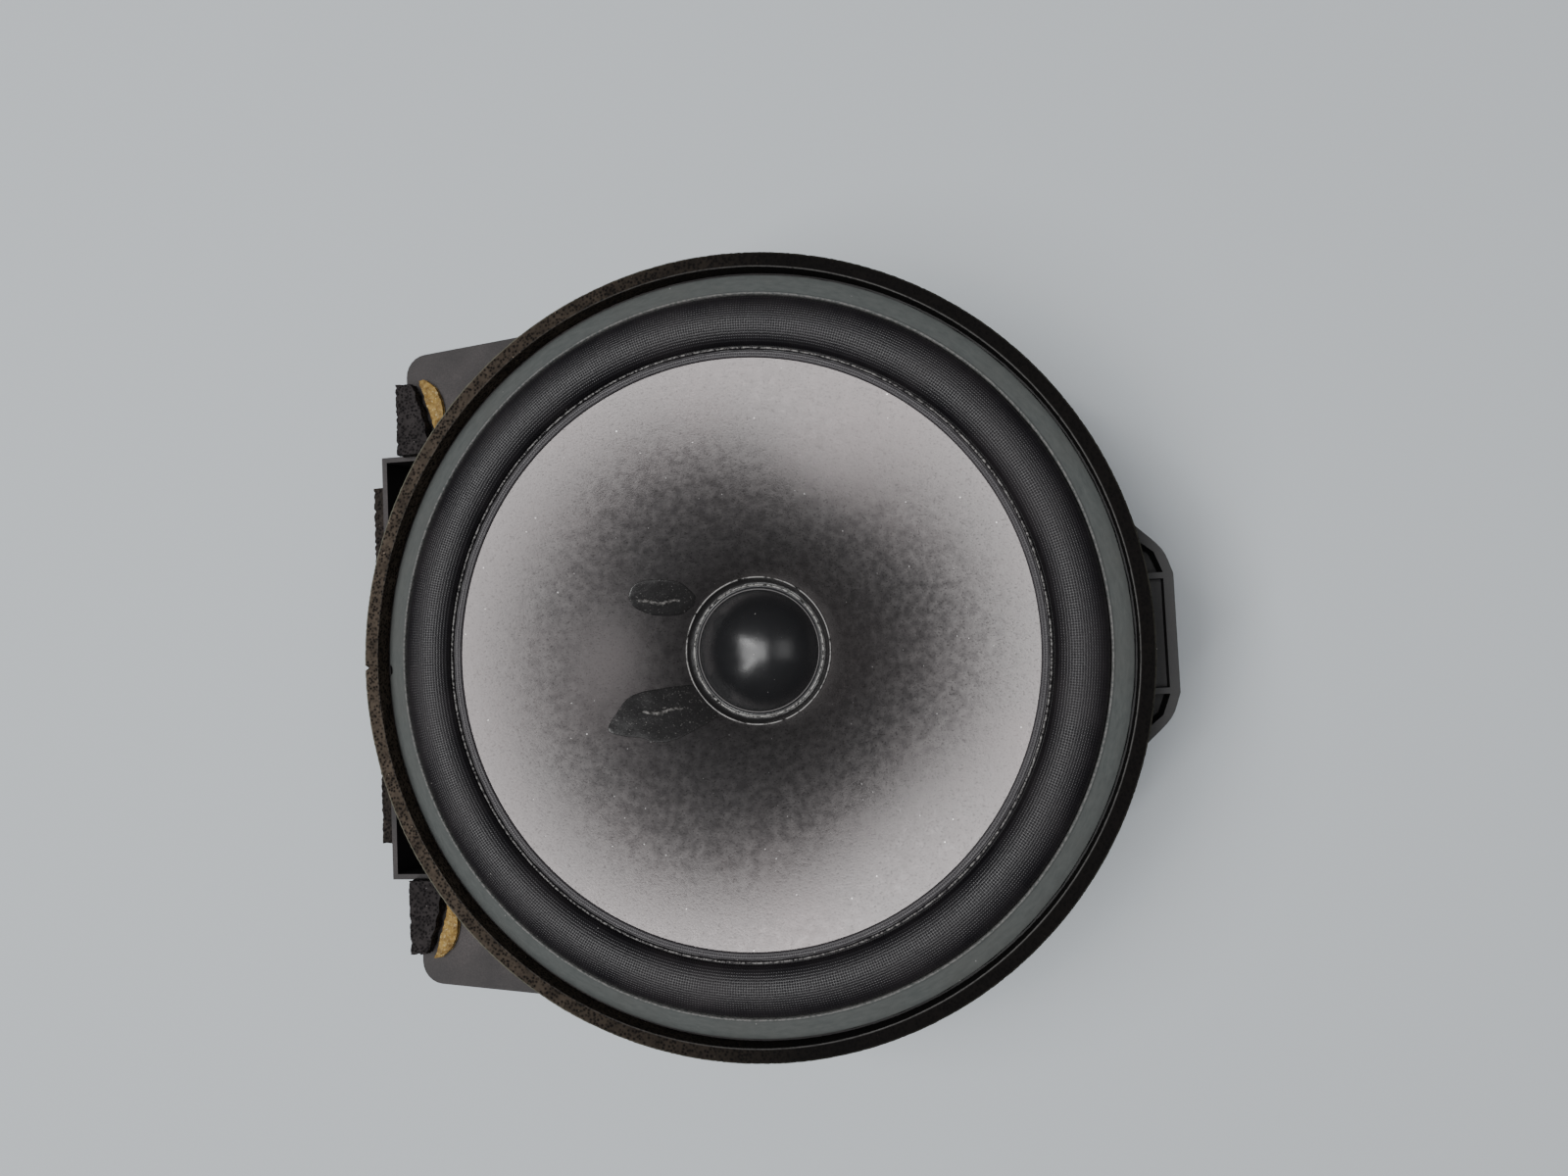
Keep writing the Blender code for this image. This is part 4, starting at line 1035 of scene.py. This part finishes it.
def slab(sides_at, y_range, z_range, steps):
    """A block on a fine grid: sides_at gives its two x for each y. All in millimetres."""
    work = bmesh.new()
    bmesh.ops.create_grid(work, x_segments=steps[0], y_segments=steps[1], size=0.5)
    for level in range(steps[2]):
        top = [face for face in work.faces if min(v.co.z for v in face.verts) > level - 0.5]
        raised = bmesh.ops.extrude_face_region(work, geom=top)["geom"]
        raised = [item for item in raised if isinstance(item, bmesh.types.BMVert)]
        bmesh.ops.translate(work, vec=(0, 0, 1), verts=raised)
    for vert in work.verts:
        y = y_range[0] + (y_range[1] - y_range[0]) * (vert.co.y + 0.5)
        left, right = sides_at(y)
        z = z_range[0] + (z_range[1] - z_range[0]) * vert.co.z / steps[2]
        vert.co = Vector((left + (right - left) * (vert.co.x + 0.5), y, z)) * MM
    bmesh.ops.recalc_face_normals(work, faces=work.faces)
    work.normal_update()
    return work


def torn_sides(y):
    """The pad's outer side is cut straight; its inner side leans over towards the ring."""
    far = abs(y)
    lean = 0.17 * (far - 51.5) + 0.045 * max(far - 54.0, 0.0) ** 1.5
    return -78.2, -70.65 - max(lean, 0.0) - 0.18 * math.sin(far * 1.7)


pad_foam = foam("pad_foam", (0.006, 0.0055, 0.006), (0.050, 0.044, 0.044))
for side, name in ((1, "upper"), (-1, "lower")):
    pad_low, pad_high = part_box("foam_pad_" + name)
    pad_y = sorted((47.9 * side, 64.2 * side))
    pad_work = slab(torn_sides, pad_y, (pad_low[2] / MM, pad_high[2] / MM - 0.1), (20, 44, 8))
    for vert in pad_work.verts:
        sink = foam_skin(vert, 0.5 * MM, 0.95 * MM)
        if vert.co.z > pad_low[2] + 0.2 * MM:
            vert.co += vert.normal * min(sink - 0.05 * MM, 0.0)
    pad = solid("foam_pad_scrap_" + name, pad_work, 75.0)
    dress(pad, pad_foam)
    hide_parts("foam_pad_" + name)
    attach(pad, "frame")


# Contact adhesive: squeezed out beside each pad towards the ring, set in a granular
# crust and gone yellow with age.

def crust_sides(y):
    """The squeezed-out glue follows the flange on one side and the pad on the other."""
    far = abs(y)
    near = -69.95 - 0.17 * max(far - 52.6, 0.0) - 0.045 * max(far - 54.0, 0.0) ** 1.45
    t = min(max((far - 52.6) / 12.7, 0.0), 1.0)
    narrowed = 1.0 - 0.35 * max(t - 0.85, 0.0) / 0.15
    width = 3.9 * math.sin(math.pi * min(0.04 + 0.74 * t, 1.0)) ** 0.8 * narrowed
    return near, near + width


yellow = finish("yellowed_adhesive", (0.33, 0.20, 0.045), 0.62, 0.0, 0.35)
yellow_place = place(yellow)
crusts = cloud(yellow, yellow_place, 520.0, 4.0, 0.7)
grains = cloud(yellow, yellow_place, 1800.0, 3.0, 0.7)
yellow_colour = blended(
    yellow, between(yellow, crusts, 0.34, 0.66), (0.15, 0.085, 0.025), (0.42, 0.27, 0.075),
)
yellow_colour = blended(yellow, between(yellow, grains, 0.56, 0.72), yellow_colour, (0.62, 0.50, 0.25))
colour_of(yellow, yellow_colour)
relief(yellow, crusts, 0.25 * MM, 0.8)
relief(yellow, grains, 0.08 * MM, 0.7)
for side, name in ((1, "upper"), (-1, "lower")):
    crust_low, crust_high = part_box("adhesive_" + name)
    crust_y = sorted((52.6 * side, 65.3 * side))
    crust_work = slab(crust_sides, crust_y, (crust_low[2] / MM, crust_high[2] / MM - 0.05), (14, 52, 8))
    for vert in crust_work.verts:
        if vert.co.z > crust_low[2] + 0.1 * MM:
            lump = noise.voronoi(vert.co / (1.3 * MM))[0][0]
            vert.co.z -= min(0.2 + 1.1 * lump, 1.2) * MM * 0.9
            vert.co += Vector((vert.normal.x, vert.normal.y, 0.0)) * -0.25 * MM * lump
    crust = solid("adhesive_crust_" + name, crust_work, 75.0)
    dress(crust, yellow)
    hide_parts("adhesive_" + name)
    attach(crust, "frame")


# Foam strip: cut from the same open-cell foam and stuck along the pocket's outer
# wall, so that the panel beside it can't rattle.

strip_low, strip_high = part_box("foam_strip")
strip_x = (strip_low[0] / MM, strip_high[0] / MM)
strip_y = (strip_low[1] / MM, strip_high[1] / MM)
strip_work = slab(lambda y: strip_x, strip_y, (strip_low[2] / MM, strip_high[2] / MM), (5, 150, 20))
for vert in strip_work.verts:
    sink = foam_skin(vert, 0.45 * MM, 1.0 * MM)
    if vert.co.x < strip_high[0] - 0.2 * MM:
        vert.co += vert.normal * min(sink - 0.05 * MM, 0.0)
strip = solid("foam_strip_cut", strip_work, 75.0)
dress(strip, foam("strip_foam", (0.006, 0.0055, 0.006), (0.046, 0.038, 0.033)))
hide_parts("foam_strip")
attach(strip, "frame")


# Terminal block: a moulded socket hung under the chassis floor, open to the outside,
# with two tinned brass blades bent up behind it for the lead wires.

block = solid("terminal_socket", copied("terminal_socket", "terminal_block"), 30.0)
soften(block, 0.3 * MM)
dress(block, moulded("socket_plastic", (0.030, 0.029, 0.031), (0.11, 0.10, 0.095), 0.45))
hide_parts("terminal_block")
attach(block, "frame")
tinned = plated("tinned_brass", (0.55, 0.53, 0.48))
for name in ("upper", "lower"):
    blade = solid("blade_" + name + "_tab", copied("blade_tab", "blade_" + name), 30.0)
    soften(blade, 0.12 * MM)
    dress(blade, tinned)
    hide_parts("blade_" + name)
    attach(blade, "frame")


# Lead wires: braided copper tinsel from each blade up to the back of the cone, slack
# so that the cone can travel. Each flexes between its soldered end and the cone.

tinsel = finish("braided_tinsel", (0.42, 0.26, 0.15), 0.42, 0.85)
tinsel_place = place(tinsel)
plait = node(tinsel, "ShaderNodeTexWave", bands_direction="DIAGONAL")
put(tinsel, tinsel_place, plait.inputs["Vector"])
plait.inputs["Scale"].default_value = 700.0
plait.inputs["Distortion"].default_value = 2.0
colour_of(tinsel, blended(tinsel, plait.outputs["Fac"], (0.20, 0.11, 0.06), (0.55, 0.36, 0.22)))
relief(tinsel, plait.outputs["Fac"], 0.12 * MM, 0.9)
for side, name in ((1, "upper"), (-1, "lower")):
    lead_low, lead_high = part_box("lead_" + name)
    blade_x = lead_low[0] + 0.6 * MM
    cone_end = (-25.7 * MM, side * 12.5 * MM, lead_high[2] - 0.25 * MM)
    lead_route = [
        (blade_x, side * 5.5 * MM, 37.4 * MM), (blade_x + 2.6 * MM, side * 5.8 * MM, 37.2 * MM),
        (-43.6 * MM, side * 7.4 * MM, 35.5 * MM), (-39.0 * MM, side * 9.9 * MM, 34.6 * MM),
        (-33.6 * MM, side * 11.5 * MM, 34.9 * MM), (-29.0 * MM, side * 12.2 * MM, 37.6 * MM),
        (-26.6 * MM, side * 12.5 * MM, 41.2 * MM), cone_end,
    ]
    wire = tube("lead_wire_" + name, lead_route, 0.52 * MM, 16)
    dress(wire, tinsel)
    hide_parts("lead_" + name)
    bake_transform(wire, "frame", "cone_body", lead_route[0], cone_end)
